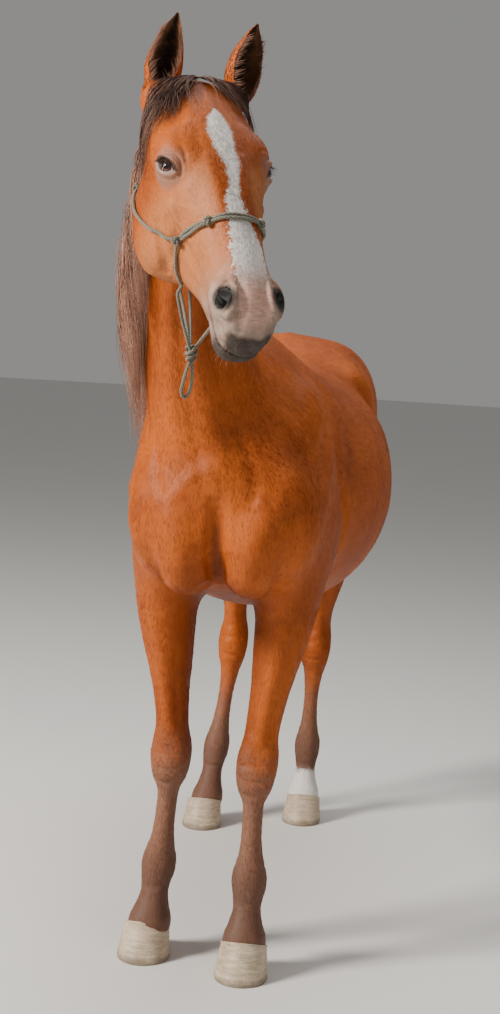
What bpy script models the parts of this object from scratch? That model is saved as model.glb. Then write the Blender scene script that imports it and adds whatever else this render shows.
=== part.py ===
"""A horse standing square, life size, its head turned to its left, wearing a rope halter.

X is the horse's left, Z is up and it faces -Y. The flesh is one implicit form: lofts and lumps blended
together, then shaped by strokes. Each piece of flesh is the surface of that form within its own bounds,
thinned to a few hundred facets and cut from its neighbours with flat cuts. Hooves, ears, eyes, hair and
halter are built onto it.
"""
import math

import bmesh
import bpy
import numpy as np
from mathutils import Matrix

# ---------------------------------------------------------------- driving dimensions, in metres
COAT = 0.003                      # the tips of the short coat stand this far off the skin
GAP = 0.0003                      # clearance between pieces that meet
GUARD = 0.0015                    # between the flesh and what is fitted over its uneven facets

POLL = (-0.069, -1.016, 1.980)    # top of the head, between the ears
HEAD_TURN = math.radians(28)      # to the horse's left
HEAD_NOD = math.radians(39)       # nose ahead of a face held upright
HEAD_TILT = math.radians(-2)
HEAD_SIZE = 1.015                 # against the head that the head's own sizes describe, 0.61 long

NECK_ROOT = (0.0, -0.53, 1.17)
NECK_TOP = (-0.050, -0.930, 1.895)

EYE = (0.0915, -0.0230, 0.2262)   # centre of the left eye, in the head's own frame
EYE_RADIUS = 0.0225
EYE_GAZE = (0.84, 0.50, 0.14)

# the hooves: half width, and how far they reach ahead of and behind the leg's own line
HOOF_TOP = (0.0530, 0.077, 0.036)       # at the coronet
HOOF_GROUND = (0.0625, 0.126, 0.018)
HIND_HOOF = 0.94                        # width and length of a hind hoof against a front one
HOOF_TOE = 0.088                        # height of the coronet at the toe
HOOF_HEEL = 0.050                       # and at the heel
HOOF_BEVEL = 0.006                      # worn edge of the wall at the ground

ROPE = 0.0065                     # halter rope's diameter
ROPE_OFF = 0.0075                 # from the coat tips to the rope's centre
ROPE_STEP = 0.026                 # between the points of its line
KNOT = 0.0095                     # radius of a knot
KNOT_CLEAR = 0.0022               # from a knot to the end of a rope

COLOURS = {
    "coat": (0.42, 0.150, 0.050),
    "dark_coat": (0.10, 0.050, 0.035),
    "hair": (0.085, 0.035, 0.022),
    "hoof": (0.52, 0.42, 0.30),
    "eye": (0.030, 0.014, 0.008),
    "rope": (0.24, 0.22, 0.16),
}


# ---------------------------------------------------------------- the form's building blocks
def unit(v):
    """The vector at length one."""
    v = np.asarray(v, float)
    return v / np.linalg.norm(v)


def curve(stations, values, at):
    """A smooth curve through the stations: a cubic between each two, with slopes shared at the stations."""
    s, v, t = (np.asarray(a, float) for a in (stations, values, at))
    slope = np.gradient(v, s)
    i = np.clip(np.searchsorted(s, t, side="right") - 1, 0, len(s) - 2)
    h = s[i + 1] - s[i]
    u = np.clip((t - s[i]) / h, 0, 1)
    near, far = (1 + 2 * u) * (1 - u) ** 2, u * u * (3 - 2 * u)
    rise, fall = u * (1 - u) ** 2, u * u * (u - 1)
    return near * v[i] + far * v[i + 1] + h * (rise * slope[i] + fall * slope[i + 1])


def smooth_min(a, b, k):
    """The lower of two fields, with a fillet of width k where they meet."""
    h = np.clip(k - np.abs(a - b), 0, None) / k
    return np.minimum(a, b) - h * h * k / 4


class Frame:
    """A place with three directions: across (x), up (y) and along (z) of whatever is built in it."""

    def __init__(self, origin, across, up, along):
        self.origin = np.asarray(origin, float)
        self.axes = np.stack([unit(across), unit(up), unit(along)], axis=1)

    def local(self, points):
        return (points - self.origin) @ self.axes

    def world(self, points):
        return self.origin + np.asarray(points, float) @ self.axes.T


class Loft:
    """A tube of rounded sections. Each station gives its place along the tube, its half width, its two edges,
    the height of its widest level, and how square it is above and below that."""

    SAMPLES = 200

    def __init__(self, stations, blend):
        rows = np.asarray(stations, float)
        self.blend = blend
        self.start, self.end = rows[0, 0], rows[-1, 0]
        self.at = np.linspace(self.start, self.end, self.SAMPLES)
        self.shape = np.stack([curve(rows[:, 0], rows[:, k], self.at) for k in range(1, rows.shape[1])])
        width = self.shape[0].max()
        self.low = np.array([-width, self.shape[1].min(), self.start])
        self.high = np.array([width, self.shape[2].max(), self.end])

    def near(self, points):
        margin = 1.5 * self.blend + 0.012
        return np.all((points > self.low - margin) & (points < self.high + margin), axis=1)

    def field(self, points):
        """Distance outside the tube's wall, measured along the ray from its axis."""
        s = np.clip(points[:, 2], self.start, self.end)
        width, low, high, level, above, below = (np.interp(s, self.at, row) for row in self.shape)
        dx, dy = points[:, 0], points[:, 1] - level
        height = np.maximum(np.where(dy > 0, high - level, level - low), 1e-4)
        power = np.where(dy > 0, above, below)
        ratio = ((np.abs(dx) / width) ** power + (np.abs(dy) / height) ** power) ** (1 / power)
        reach = np.hypot(dx, dy)
        wall = np.where(ratio > 1e-3, reach - reach / np.maximum(ratio, 1e-3), -np.minimum(width, height))
        past = np.maximum(self.start - points[:, 2], points[:, 2] - self.end)
        return -smooth_min(-wall, -past, 0.02)


class Lump:
    """An ellipsoid of flesh: its centre, its half sizes, and the direction of the second of them."""

    def __init__(self, centre, sizes, up=(0, 1, 0), blend=0.03):
        first = unit((1, 0, 0))
        second = unit(np.asarray(up, float) * (0, 1, 1))
        self.frame = Frame(centre, first, second, np.cross(first, second))
        self.sizes, self.blend = np.asarray(sizes, float), blend

    def near(self, points):
        reach = self.sizes.max() + 1.5 * self.blend + 0.012
        return np.all(np.abs(points - self.frame.origin) < reach, axis=1)

    def field(self, points):
        q = self.frame.local(points)
        r = np.linalg.norm(q / self.sizes, axis=1)
        g = np.linalg.norm(q / self.sizes ** 2, axis=1)
        return np.where(r > 1e-3, r * (r - 1) / np.maximum(g, 1e-6), -self.sizes.min())


class Stroke:
    """Raises the surface by its height, or sinks it where that is negative, along a line of points, and fades
    to nothing at its width."""

    def __init__(self, line, width, height):
        self.line = np.asarray(line, float)
        self.width = width
        self.height = np.broadcast_to(np.asarray(height, float), len(self.line))

    def apply(self, points, field, scale):
        inside = (points > self.line.min(0) - self.width) & (points < self.line.max(0) + self.width)
        near = np.flatnonzero(inside.all(axis=1))
        p = points[near]
        best, lift = np.zeros(len(p)), np.zeros(len(p))
        for a, b, ha, hb in zip(self.line, self.line[1:], self.height, self.height[1:]):
            t = np.clip((p - a) @ (b - a) / ((b - a) @ (b - a)), 0, 1)
            d = np.linalg.norm(p - a - t[:, None] * (b - a), axis=1) / self.width
            w = np.clip(1 - d * d, 0, None) ** 2
            lift = np.where(w > best, w * (ha + (hb - ha) * t), lift)
            best = np.maximum(best, w)
        field[near] -= scale * lift


class Group:
    """Flesh built in one frame: solids blended in turn, then the strokes that shape their surface."""

    def __init__(self, to_local, solids, strokes=(), scale=1.0):
        self.to_local, self.solids, self.strokes, self.scale = to_local, solids, strokes, scale

    def add_to(self, field, points):
        local = self.to_local(points)
        for solid in self.solids:
            near = np.flatnonzero(solid.near(local))
            if len(near):
                more = solid.field(local[near]) * self.scale
                field[near] = smooth_min(field[near], more, solid.blend * self.scale)

    def shape(self, field, points):
        local = self.to_local(points)
        for stroke in self.strokes:
            stroke.apply(local, field, self.scale)


# ---------------------------------------------------------------- trunk
# place along the body, half width, belly, back, widest level, squareness above and below
TRUNK = [
    (-0.82, 0.10, 0.99, 1.17, 1.08, 2.0, 2.0),     # breast
    (-0.75, 0.165, 0.93, 1.25, 1.09, 2.0, 2.0),    # points of the shoulders
    (-0.64, 0.200, 0.88, 1.35, 1.09, 2.0, 2.2),
    (-0.52, 0.210, 0.862, 1.43, 1.08, 1.8, 2.4),
    (-0.40, 0.230, 0.845, 1.488, 1.08, 1.6, 2.3),  # withers
    (-0.28, 0.268, 0.815, 1.475, 1.08, 1.6, 2.2),
    (-0.14, 0.308, 0.78, 1.430, 1.08, 1.8, 2.1),
    (0.02, 0.335, 0.758, 1.405, 1.08, 2.0, 2.1),   # back and deepest belly
    (0.16, 0.332, 0.768, 1.408, 1.09, 2.1, 2.1),
    (0.30, 0.295, 0.825, 1.435, 1.12, 2.1, 2.1),   # loin and flank
    (0.42, 0.265, 0.905, 1.475, 1.17, 2.1, 2.0),
    (0.56, 0.250, 0.97, 1.475, 1.20, 2.2, 2.0),    # croup
    (0.68, 0.222, 1.02, 1.435, 1.20, 2.2, 2.0),
    (0.78, 0.165, 1.06, 1.365, 1.20, 2.2, 2.0),
    (0.84, 0.095, 1.10, 1.285, 1.19, 2.0, 2.0),    # buttocks
]


def trunk_local(points):
    """Across, up and back, with the two sides folded onto one."""
    return np.stack([np.abs(points[:, 0]), points[:, 2], points[:, 1]], axis=1)


def trunk_group():
    solids = [
        Loft(TRUNK, 0.03),
        Lump((0.135, 1.10, -0.52), (0.085, 0.27, 0.17), (0, 0.90, 0.40), 0.06),      # shoulder
        Lump((0.165, 1.00, -0.44), (0.068, 0.13, 0.13), blend=0.06),                 # triceps
        Lump((0.130, 1.06, -0.70), (0.085, 0.13, 0.12), blend=0.05),                 # point of the shoulder
        Lump((0.078, 0.995, -0.750), (0.080, 0.115, 0.080), (0, 1, -0.15), 0.035),   # breast
        Lump((0.125, 1.28, 0.53), (0.128, 0.17, 0.28), (0, 1, -0.15), 0.06),         # croup
        Lump((0.130, 1.16, 0.70), (0.095, 0.20, 0.135), blend=0.06),                 # buttock
        Lump((0.190, 1.335, 0.355), (0.035, 0.035, 0.060), blend=0.09),              # point of the hip
        Lump((0.000, 1.34, 0.775), (0.045, 0.045, 0.085), (0, 1, -0.6), 0.07),       # root of the tail
        Lump((0.150, 1.00, 0.42), (0.085, 0.14, 0.12), (0, 1, 0.3), 0.07),           # fold of the flank
    ]
    cleft = [(0.0, 0.905, -0.716), (0.0, 0.935, -0.765), (0.0, 0.985, -0.816), (0.0, 1.04, -0.827),
             (0.0, 1.10, -0.829)]
    bulge = [(0.079, 0.918, -0.803), (0.080, 0.980, -0.832), (0.085, 1.050, -0.835)]
    strokes = [
        Stroke(cleft, 0.040, (-0.014, -0.026, -0.026, -0.015, -0.002)),
        Stroke(bulge, 0.055, (0.006, 0.011, 0.004)),
    ]
    return Group(trunk_local, solids, strokes)


# ---------------------------------------------------------------- legs
# place up the leg, half width, front, back, level of its middle, squareness behind and in front
FORELEG = [
    (0.050, 0.050, -0.075, 0.035, -0.02, 2.0, 2.2),    # inside the hoof
    (0.090, 0.049, -0.071, 0.030, -0.02, 2.0, 2.2),
    (0.115, 0.040, -0.058, 0.026, -0.015, 2.0, 2.2),   # pastern
    (0.150, 0.032, -0.040, 0.036, -0.004, 2.0, 2.2),
    (0.185, 0.036, -0.032, 0.055, 0.006, 2.1, 2.2),
    (0.215, 0.0385, -0.031, 0.058, 0.008, 2.1, 2.2),   # fetlock
    (0.250, 0.033, -0.028, 0.047, 0.006, 2.1, 2.2),
    (0.290, 0.026, -0.024, 0.041, 0.006, 2.2, 2.2),
    (0.350, 0.0235, -0.022, 0.040, 0.007, 2.3, 2.2),   # cannon
    (0.395, 0.027, -0.026, 0.043, 0.007, 2.3, 2.2),
    (0.425, 0.039, -0.038, 0.048, 0.004, 2.3, 2.6),
    (0.460, 0.046, -0.045, 0.060, 0.003, 2.2, 2.8),    # knee
    (0.500, 0.047, -0.042, 0.052, 0.003, 2.2, 2.6),
    (0.540, 0.040, -0.040, 0.045, 0.002, 2.1, 2.3),
    (0.610, 0.0415, -0.052, 0.056, 0.002, 2.0, 2.1),
    (0.690, 0.051, -0.070, 0.074, 0.002, 2.0, 2.0),    # forearm
    (0.770, 0.063, -0.088, 0.094, 0.003, 2.0, 2.0),
    (0.850, 0.071, -0.100, 0.115, 0.005, 2.0, 2.0),    # elbow
    (0.930, 0.070, -0.105, 0.130, 0.010, 2.0, 2.0),
    (1.020, 0.058, -0.095, 0.120, 0.010, 2.0, 2.0),
]

HINDLEG = [
    (0.050, 0.046, -0.070, 0.035, -0.02, 2.0, 2.2),    # inside the hoof
    (0.090, 0.045, -0.066, 0.030, -0.02, 2.0, 2.2),
    (0.115, 0.036, -0.053, 0.026, -0.014, 2.0, 2.2),   # pastern
    (0.155, 0.029, -0.036, 0.036, -0.002, 2.0, 2.2),
    (0.195, 0.034, -0.031, 0.052, 0.006, 2.1, 2.2),
    (0.230, 0.0355, -0.030, 0.055, 0.008, 2.1, 2.2),   # fetlock
    (0.265, 0.030, -0.027, 0.044, 0.006, 2.1, 2.2),
    (0.310, 0.024, -0.024, 0.038, 0.006, 2.2, 2.2),
    (0.400, 0.0225, -0.024, 0.038, 0.006, 2.3, 2.2),   # cannon
    (0.455, 0.029, -0.033, 0.044, 0.006, 2.3, 2.2),
    (0.495, 0.038, -0.048, 0.052, 0.004, 2.3, 2.3),
    (0.535, 0.042, -0.060, 0.060, 0.000, 2.3, 2.3),    # hock
    (0.575, 0.039, -0.062, 0.074, 0.000, 2.2, 2.1),
    (0.610, 0.0335, -0.060, 0.074, 0.000, 1.8, 2.0),   # point of the hock
    (0.650, 0.0345, -0.068, 0.058, 0.000, 1.6, 2.0),
    (0.710, 0.046, -0.094, 0.048, -0.02, 1.8, 2.0),
    (0.780, 0.0605, -0.135, 0.052, -0.04, 2.0, 2.0),   # gaskin
    (0.850, 0.075, -0.190, 0.070, -0.06, 2.0, 2.0),
    (0.920, 0.0875, -0.250, 0.094, -0.08, 2.1, 2.0),   # stifle
    (1.000, 0.0985, -0.282, 0.118, -0.08, 2.2, 2.0),
    (1.100, 0.103, -0.275, 0.138, -0.06, 2.2, 2.1),    # thigh
    (1.200, 0.0965, -0.240, 0.142, -0.05, 2.2, 2.1),
    (1.300, 0.0775, -0.190, 0.105, -0.04, 2.0, 2.0),
]

# each leg's own line from the floor up: height, sideways, back
LEG_LINES = {
    "front_leg_right": [(0.0, -0.142, -0.575), (0.21, -0.125, -0.590), (0.46, -0.112, -0.570),
                        (0.86, -0.146, -0.560), (1.1, -0.162, -0.560)],
    "front_leg_left": [(0.0, 0.100, -0.650), (0.21, 0.100, -0.655), (0.46, 0.098, -0.620),
                       (0.86, 0.143, -0.570), (1.1, 0.162, -0.560)],
    "hind_leg_right": [(0.0, -0.175, 0.555), (0.23, -0.155, 0.590), (0.54, -0.130, 0.665),
                       (0.90, -0.150, 0.690), (1.3, -0.143, 0.700)],
    "hind_leg_left": [(0.0, 0.112, 0.700), (0.23, 0.112, 0.700), (0.54, 0.122, 0.690),
                      (0.90, 0.150, 0.695), (1.3, 0.143, 0.700)],
}


def leg_group(name):
    z, x, y = (np.array(v) for v in zip(*LEG_LINES[name]))

    def to_local(points):
        side, back = curve(z, x, points[:, 2]), curve(z, y, points[:, 2])
        return np.stack([points[:, 0] - side, points[:, 1] - back, points[:, 2]], axis=1)

    return Group(to_local, [Loft(FORELEG if name.startswith("front") else HINDLEG, 0.05)])


# ---------------------------------------------------------------- neck
# place up the neck, half width, throat side, crest side, widest level, squareness towards crest and throat
NECK = [
    (-0.10, 0.170, -0.26, 0.18, -0.06, 2.0, 2.0),
    (0.00, 0.178, -0.295, 0.230, -0.06, 1.8, 2.0),
    (0.08, 0.165, -0.272, 0.258, -0.06, 1.7, 2.0),
    (0.17, 0.140, -0.232, 0.262, -0.04, 1.6, 2.0),
    (0.28, 0.118, -0.190, 0.236, -0.02, 1.6, 2.0),
    (0.40, 0.100, -0.155, 0.200, -0.01, 1.7, 2.0),
    (0.52, 0.090, -0.135, 0.165, -0.01, 1.8, 2.0),
    (0.64, 0.086, -0.128, 0.135, -0.01, 1.9, 2.0),
    (0.74, 0.085, -0.125, 0.112, -0.01, 2.0, 2.0),
    (0.82, 0.078, -0.110, 0.095, -0.01, 2.0, 2.0),
    (0.88, 0.055, -0.080, 0.060, -0.01, 2.0, 2.0),
]

# the neck bows to the horse's right as the head turns left: place up the neck, offset sideways
NECK_BOW = [(-0.2, 0.0), (0.0, -0.008), (0.15, -0.040), (0.30, -0.066), (0.45, -0.072), (0.60, -0.055),
            (0.75, -0.02), (0.90, 0.0)]


def neck_frame():
    along = unit(np.subtract(NECK_TOP, NECK_ROOT))
    return Frame(NECK_ROOT, np.array((1, 0, 0)) - along[0] * along, np.cross(along, (1, 0, 0)), along)


def neck_group():
    frame = neck_frame()
    place, bow = (np.array(v) for v in zip(*NECK_BOW))

    def to_local(points):
        q = frame.local(points)
        q[:, 0] -= curve(place, bow, q[:, 2])
        return q

    return Group(to_local, [Loft(NECK, 0.07)])


# ---------------------------------------------------------------- head
# place down the face from the poll, half width, depth, top of the nose, widest level, squareness above, below
SKULL = [
    (-0.035, 0.050, -0.120, -0.040, -0.080, 2.0, 2.0),
    (0.000, 0.076, -0.145, -0.004, -0.065, 2.0, 2.0),    # poll
    (0.060, 0.097, -0.175, 0.018, -0.060, 2.2, 2.0),
    (0.120, 0.107, -0.180, 0.030, -0.055, 2.3, 2.0),
    (0.170, 0.111, -0.180, 0.035, -0.050, 2.3, 2.0),     # brow
    (0.220, 0.105, -0.175, 0.036, -0.050, 2.2, 2.0),
    (0.280, 0.089, -0.160, 0.034, -0.050, 2.1, 2.0),
    (0.340, 0.073, -0.145, 0.029, -0.050, 2.0, 2.2),
    (0.400, 0.062, -0.130, 0.023, -0.050, 2.0, 2.4),     # nose
    (0.460, 0.057, -0.120, 0.016, -0.050, 2.1, 2.4),
    (0.520, 0.056, -0.115, 0.005, -0.050, 2.3, 2.4),
    (0.565, 0.053, -0.112, -0.010, -0.055, 2.4, 2.4),
    (0.592, 0.045, -0.104, -0.026, -0.062, 2.3, 2.2),    # upper lip
    (0.610, 0.027, -0.090, -0.048, -0.068, 2.0, 2.0),
]

JAW = [
    (0.055, 0.052, -0.225, -0.100, -0.17, 2.0, 2.0),
    (0.110, 0.078, -0.265, -0.080, -0.17, 2.2, 2.0),
    (0.170, 0.101, -0.292, -0.060, -0.17, 2.4, 2.2),     # cheek
    (0.230, 0.106, -0.304, -0.050, -0.17, 2.6, 2.6),
    (0.285, 0.097, -0.290, -0.050, -0.165, 2.4, 2.4),
    (0.340, 0.069, -0.240, -0.060, -0.145, 2.2, 2.2),
    (0.410, 0.052, -0.190, -0.070, -0.13, 2.0, 2.2),
    (0.480, 0.044, -0.163, -0.080, -0.125, 2.0, 2.0),
    (0.530, 0.042, -0.157, -0.090, -0.13, 2.0, 2.0),
    (0.565, 0.042, -0.162, -0.090, -0.13, 2.0, 2.2),     # chin
    (0.590, 0.035, -0.152, -0.100, -0.128, 2.0, 2.0),
    (0.604, 0.020, -0.138, -0.112, -0.125, 2.0, 2.0),
]


def head_frame():
    """Across, up (out of the forehead) and along (down the face), after the head's turn, nod and tilt."""
    angles = ((HEAD_TURN, "Z"), (-HEAD_NOD, "X"), (HEAD_TILT, "Y"))
    turn, nod, tilt = (Matrix.Rotation(angle, 3, axis) for angle, axis in angles)
    axes = np.array(turn @ nod @ tilt) @ np.array(((1, 0, 0), (0, -1, 0), (0, 0, -1))).T
    return Frame(POLL, *axes.T)


def head_group():
    frame = head_frame()

    def to_local(points):
        q = frame.local(points) / HEAD_SIZE
        q[:, 0] = np.abs(q[:, 0])
        return q

    lids = np.array((0.0238, 0.0236, 0.0246))
    solids = [
        Loft(SKULL, 0.035),
        Loft(JAW, 0.03),
        Lump((0.086, -0.014, 0.198), (0.024, 0.030, 0.048), blend=0.03),              # brow
        Lump(EYE, lids, blend=0.02),                                                  # lids
        Lump((0.076, -0.160, 0.225), (0.027, 0.11, 0.095), blend=0.04),               # cheek
        Lump((0.074, -0.050, 0.010), (0.030, 0.036, 0.032), blend=0.03),              # root of the ear
        Lump((0.045, -0.040, 0.532), (0.024, 0.032, 0.042), (0, 1, -0.4), 0.02),      # nostril's rim
        Lump((0.0, -0.075, 0.575), (0.044, 0.042, 0.040), blend=0.02),                # upper lip
    ]
    strokes = [
        Stroke([(0.084, -0.060, 0.26), (0.070, -0.070, 0.37)], 0.022, (0.006, 0.003)),            # cheek bone
        Stroke([(0.070, 0.005, 0.105), (0.072, 0.0, 0.125)], 0.033, -0.008),              # above the eye
        Stroke([(0.052, -0.118, 0.53), (0.034, -0.112, 0.60), (0.0, -0.110, 0.625)], 0.012, -0.006),   # mouth
        Stroke([(0.062, -0.028, 0.562), (0.048, -0.006, 0.530)], 0.019, -0.012),                  # nostril
    ]
    return Group(to_local, solids, strokes, HEAD_SIZE)


GROUPS = [trunk_group(), *(leg_group(name) for name in LEG_LINES), neck_group(), head_group()]
HEAD = head_frame()


def body(points):
    """How far each point lies outside the skin, below zero inside it."""
    field = np.full(len(points), 0.5)
    for group in GROUPS:
        group.add_to(field, points)
    for group in GROUPS:
        group.shape(field, points)
    return field


def slope(points, step=0.001):
    """The direction in which the form falls away at each point, scaled by how fast."""
    parts = [body(points + offset) - body(points - offset) for offset in np.eye(3) * step]
    return np.stack(parts, axis=1) / (2 * step)


def settle(points, level, rounds=2):
    """The points moved straight out or in to that height over the skin."""
    points = np.asarray(points, float)
    for _ in range(rounds):
        out = slope(points)
        square = np.maximum((out ** 2).sum(axis=1), 0.05)
        points = points - out * ((body(points) - level) / square)[:, None]
    return points


def on_head(points):
    """Points given in the head's own frame and sizes, in the horse's."""
    return HEAD.world(np.asarray(points, float) * HEAD_SIZE)


# ---------------------------------------------------------------- meshes and modifiers
def surface_net(field, low, high, cell):
    """Points and quads of the surface where the field is zero: one point in each cell that it crosses, at
    the mean of its crossings, and one quad for each grid edge that the surface cuts."""
    low = np.asarray(low, float)
    size = np.ceil((np.asarray(high, float) - low) / cell).astype(int) + 1
    grid = np.stack(np.meshgrid(*(np.arange(n) for n in size), indexing="ij"), axis=-1)
    values = field(low + grid.reshape(-1, 3) * cell).reshape(size)
    inside = values < 0
    count = size - 1
    corners = np.stack(np.meshgrid([0, 1], [0, 1], [0, 1], indexing="ij"), axis=-1).reshape(-1, 3)
    total = sum(inside[a:a + count[0], b:b + count[1], c:c + count[2]].astype(int) for a, b, c in corners)
    cells = np.argwhere((total > 0) & (total < 8))
    sums, hits = np.zeros((len(cells), 3)), np.zeros(len(cells))
    for axis, along in enumerate(np.eye(3, dtype=int)):
        for corner in corners[corners[:, axis] == 0]:
            first, second = (values[tuple((cells + c).T)] for c in (corner, corner + along))
            cut = (first < 0) != (second < 0)
            share = np.where(cut, first / np.where(cut, first - second, 1), 0)
            sums += np.where(cut[:, None], corner + share[:, None] * along, 0)
            hits += cut
    number = np.full(count, -1)
    number[tuple(cells.T)] = np.arange(len(cells))
    quads = []
    for axis, along in enumerate(np.eye(3, dtype=int)):
        u, v = np.roll(np.eye(3, dtype=int), -axis - 1, axis=0)[:2]
        first = np.take(inside, range(size[axis] - 1), axis)
        second = np.take(inside, range(1, size[axis]), axis)
        edges = np.argwhere(first != second)
        ring = [edges, edges - u, edges - u - v, edges - v]
        quad = np.stack([number[tuple(r.T)] for r in ring], axis=1)
        quads.append(np.where(first[tuple(edges.T)][:, None], quad, quad[:, ::-1]))
    return low + (cells + sums / hits[:, None]) * cell, np.concatenate(quads)


def material(name):
    """A plain material of the named colour, made once."""
    found = bpy.data.materials.get(name)
    if found:
        return found
    made = bpy.data.materials.new(name)
    made.use_nodes = True
    shader = made.node_tree.nodes["Principled BSDF"]
    shader.inputs["Base Color"].default_value = (*COLOURS[name.split(".")[0]], 1)
    shader.inputs["Roughness"].default_value = 0.15 if name.startswith("eye") else 0.6
    shader.inputs["Metallic"].default_value = 0.0
    return made


def add(name, points, faces, colour):
    """A named object from points and faces, smooth where it is round."""
    mesh = bpy.data.meshes.new(name)
    mesh.from_pydata(np.asarray(points).tolist(), [], [list(map(int, face)) for face in faces])
    shell = bmesh.new()
    shell.from_mesh(mesh)
    bmesh.ops.recalc_face_normals(shell, faces=shell.faces)
    shell.to_mesh(mesh)
    shell.free()
    mesh.shade_smooth()
    mesh.set_sharp_from_angle(angle=math.radians(40))
    mesh.materials.append(material(f"{colour}.{name}"))
    thing = bpy.data.objects.new(name, mesh)
    bpy.context.scene.collection.objects.link(thing)
    return thing


def cutter(name, points, faces):
    """A solid that only cuts others."""
    thing = add(name, points, faces, "rope")
    thing.hide_render = True
    thing.display_type = "WIRE"
    return thing


def boolean(thing, other, operation="DIFFERENCE"):
    cut = thing.modifiers.new(other.name, "BOOLEAN")
    cut.object = other
    cut.operation = operation
    cut.solver = "EXACT"


def thin(thing, triangles):
    """Thins the object's mesh to about that many triangles."""
    quads = len(thing.data.polygons)
    reduce = thing.modifiers.new("thin", "DECIMATE")
    reduce.ratio = triangles / (2 * quads)


def grown_copy(thing, amount):
    """A cutter with the object's own shape, grown all round by that amount."""
    copy = bpy.data.objects.new(thing.name + "_grown", thing.data)
    bpy.context.scene.collection.objects.link(copy)
    copy.hide_render = True
    copy.display_type = "WIRE"
    for source in thing.modifiers:
        twin = copy.modifiers.new(source.name, source.type)
        if source.type == "DECIMATE":
            twin.ratio = source.ratio
        else:
            twin.object, twin.operation, twin.solver = source.object, source.operation, source.solver
    grow = copy.modifiers.new("grow", "DISPLACE")
    grow.strength = amount
    grow.mid_level = 0
    return copy


def block(name, centre, axes, low, high):
    """A box cutter between two corners given along its own axes from its centre."""
    corners = np.stack(np.meshgrid([0, 1], [0, 1], [0, 1], indexing="ij"), axis=-1).reshape(-1, 3)
    local = np.asarray(low) + corners * np.subtract(high, low)
    sides = [(0, 1, 3, 2), (4, 6, 7, 5), (0, 4, 5, 1), (2, 3, 7, 6), (0, 2, 6, 4), (1, 5, 7, 3)]
    return cutter(name, np.asarray(centre) + local @ np.asarray(axes, float), sides)


def grid_faces(rows, columns, ring=False, first=0):
    """Quads between neighbouring rows of points, closing each row into a ring where asked."""
    wrap = columns if ring else columns - 1
    index = first + np.arange(rows * columns).reshape(rows, columns)
    right = np.roll(index, -1, axis=1)[:, :wrap]
    left = index[:, :wrap]
    return np.stack([left[:-1], right[:-1], right[1:], left[1:]], axis=-1).reshape(-1, 4).tolist()


def tube(name, rings, colour):
    """A closed solid through rings of points, flat at both ends."""
    rows, columns = rings.shape[:2]
    ends = [list(range(columns))[::-1], list(range((rows - 1) * columns, rows * columns))]
    return add(name, rings.reshape(-1, 3), grid_faces(rows, columns, ring=True) + ends, colour)


def shell(name, outer, inner, colour):
    """A closed solid between two grids of points, joined round their edges."""
    rows, columns = outer.shape[:2]
    index = np.arange(rows * columns).reshape(rows, columns)
    rim = np.concatenate([index[0], index[1:, -1], index[-1, -2::-1], index[-2:0:-1, 0]])
    after, size = np.roll(rim, -1), rows * columns
    walls = np.stack([rim, after, after + size, rim + size], axis=1).tolist()
    back = [face[::-1] for face in grid_faces(rows, columns, first=size)]
    points = np.concatenate([outer.reshape(-1, 3), inner.reshape(-1, 3)])
    return add(name, points, grid_faces(rows, columns) + back + walls, colour)


# ---------------------------------------------------------------- flesh
def flesh(name, low, high, cell, triangles, colour="coat"):
    """The form's surface at the coat's tips, within a box."""
    low, high = np.asarray(low, float), np.asarray(high, float)
    middle, half = (low + high) / 2, (high - low) / 2 - 1.5 * cell

    def bounded(points):
        box = (np.abs(points - middle) - half).max(axis=1)
        return np.maximum(body(points) - COAT, box)

    points, quads = surface_net(bounded, low, high, cell)
    free = (np.abs(points - middle) - half).max(axis=1) < -cell
    points[free] = settle(points[free], COAT)
    thing = add(name, points, quads, colour)
    thin(thing, triangles)
    return thing


HALF_GAP = GAP / 2
ELBOW_CUT = 0.845                 # the front legs are pieces of their own up to here
STIFLE_CUT = 0.870                # and the hind legs up to here
FRONT_LEG_BACK = -0.43            # no part of a front leg lies behind this
HIND_LEG_FRONT = 0.44

NECK_CUT = ((0.0, -0.50, 1.46), (0.0, -0.66, 0.75))     # a point on the cut below the neck, and its direction
HEAD_CORNER = (0.0, -0.318, 0.124)      # below the angle of the jaw, in the head's own frame
HEAD_CUT_FORWARD = (0.0, 0.0, 1.0)      # from there the cut runs forward under the jaw
HEAD_CUT_UP = (0.0, 0.694, -0.720)      # and up behind it


def legs():
    """The four legs, each from its hoof up to the body."""
    made = {}
    for name, line in LEG_LINES.items():
        x, y = line[0][1], line[0][2]
        side = 1 if name.endswith("left") else -1
        front = name.startswith("front")
        top = ELBOW_CUT if front else STIFLE_CUT
        ahead, behind = (-0.80, FRONT_LEG_BACK) if front else (HIND_LEG_FRONT, 0.92)
        low = (min(side * 0.003, side * 0.30), ahead, 0.02)
        high = (max(side * 0.003, side * 0.30), behind, top + 0.05)
        leg = flesh(name, low, high, 0.009, 600)
        keep = block(name + "_keep", (0, 0, 0), np.eye(3), (low[0] - 0.1, ahead - 0.1, -0.1),
                     (high[0] + 0.1, behind + 0.1, top - HALF_GAP))
        boolean(leg, keep, "INTERSECT")
        boolean(leg, coronet_cutter(name, x, y))
        made[name] = leg
    return made


def trunk():
    thing = flesh("trunk", (-0.42, -0.95, 0.68), (0.42, 1.0, 1.62), 0.0153, 1120)
    for name, ahead, behind, top in (("front_legs_room", -1.2, FRONT_LEG_BACK, ELBOW_CUT),
                                     ("hind_legs_room", HIND_LEG_FRONT, 1.2, STIFLE_CUT)):
        room = block(name, (0, 0, 0), np.eye(3), (-0.6, ahead, 0.2), (0.6, behind, top + HALF_GAP))
        boolean(thing, room)
    boolean(thing, neck_side("neck_room", -HALF_GAP))
    return thing


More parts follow.
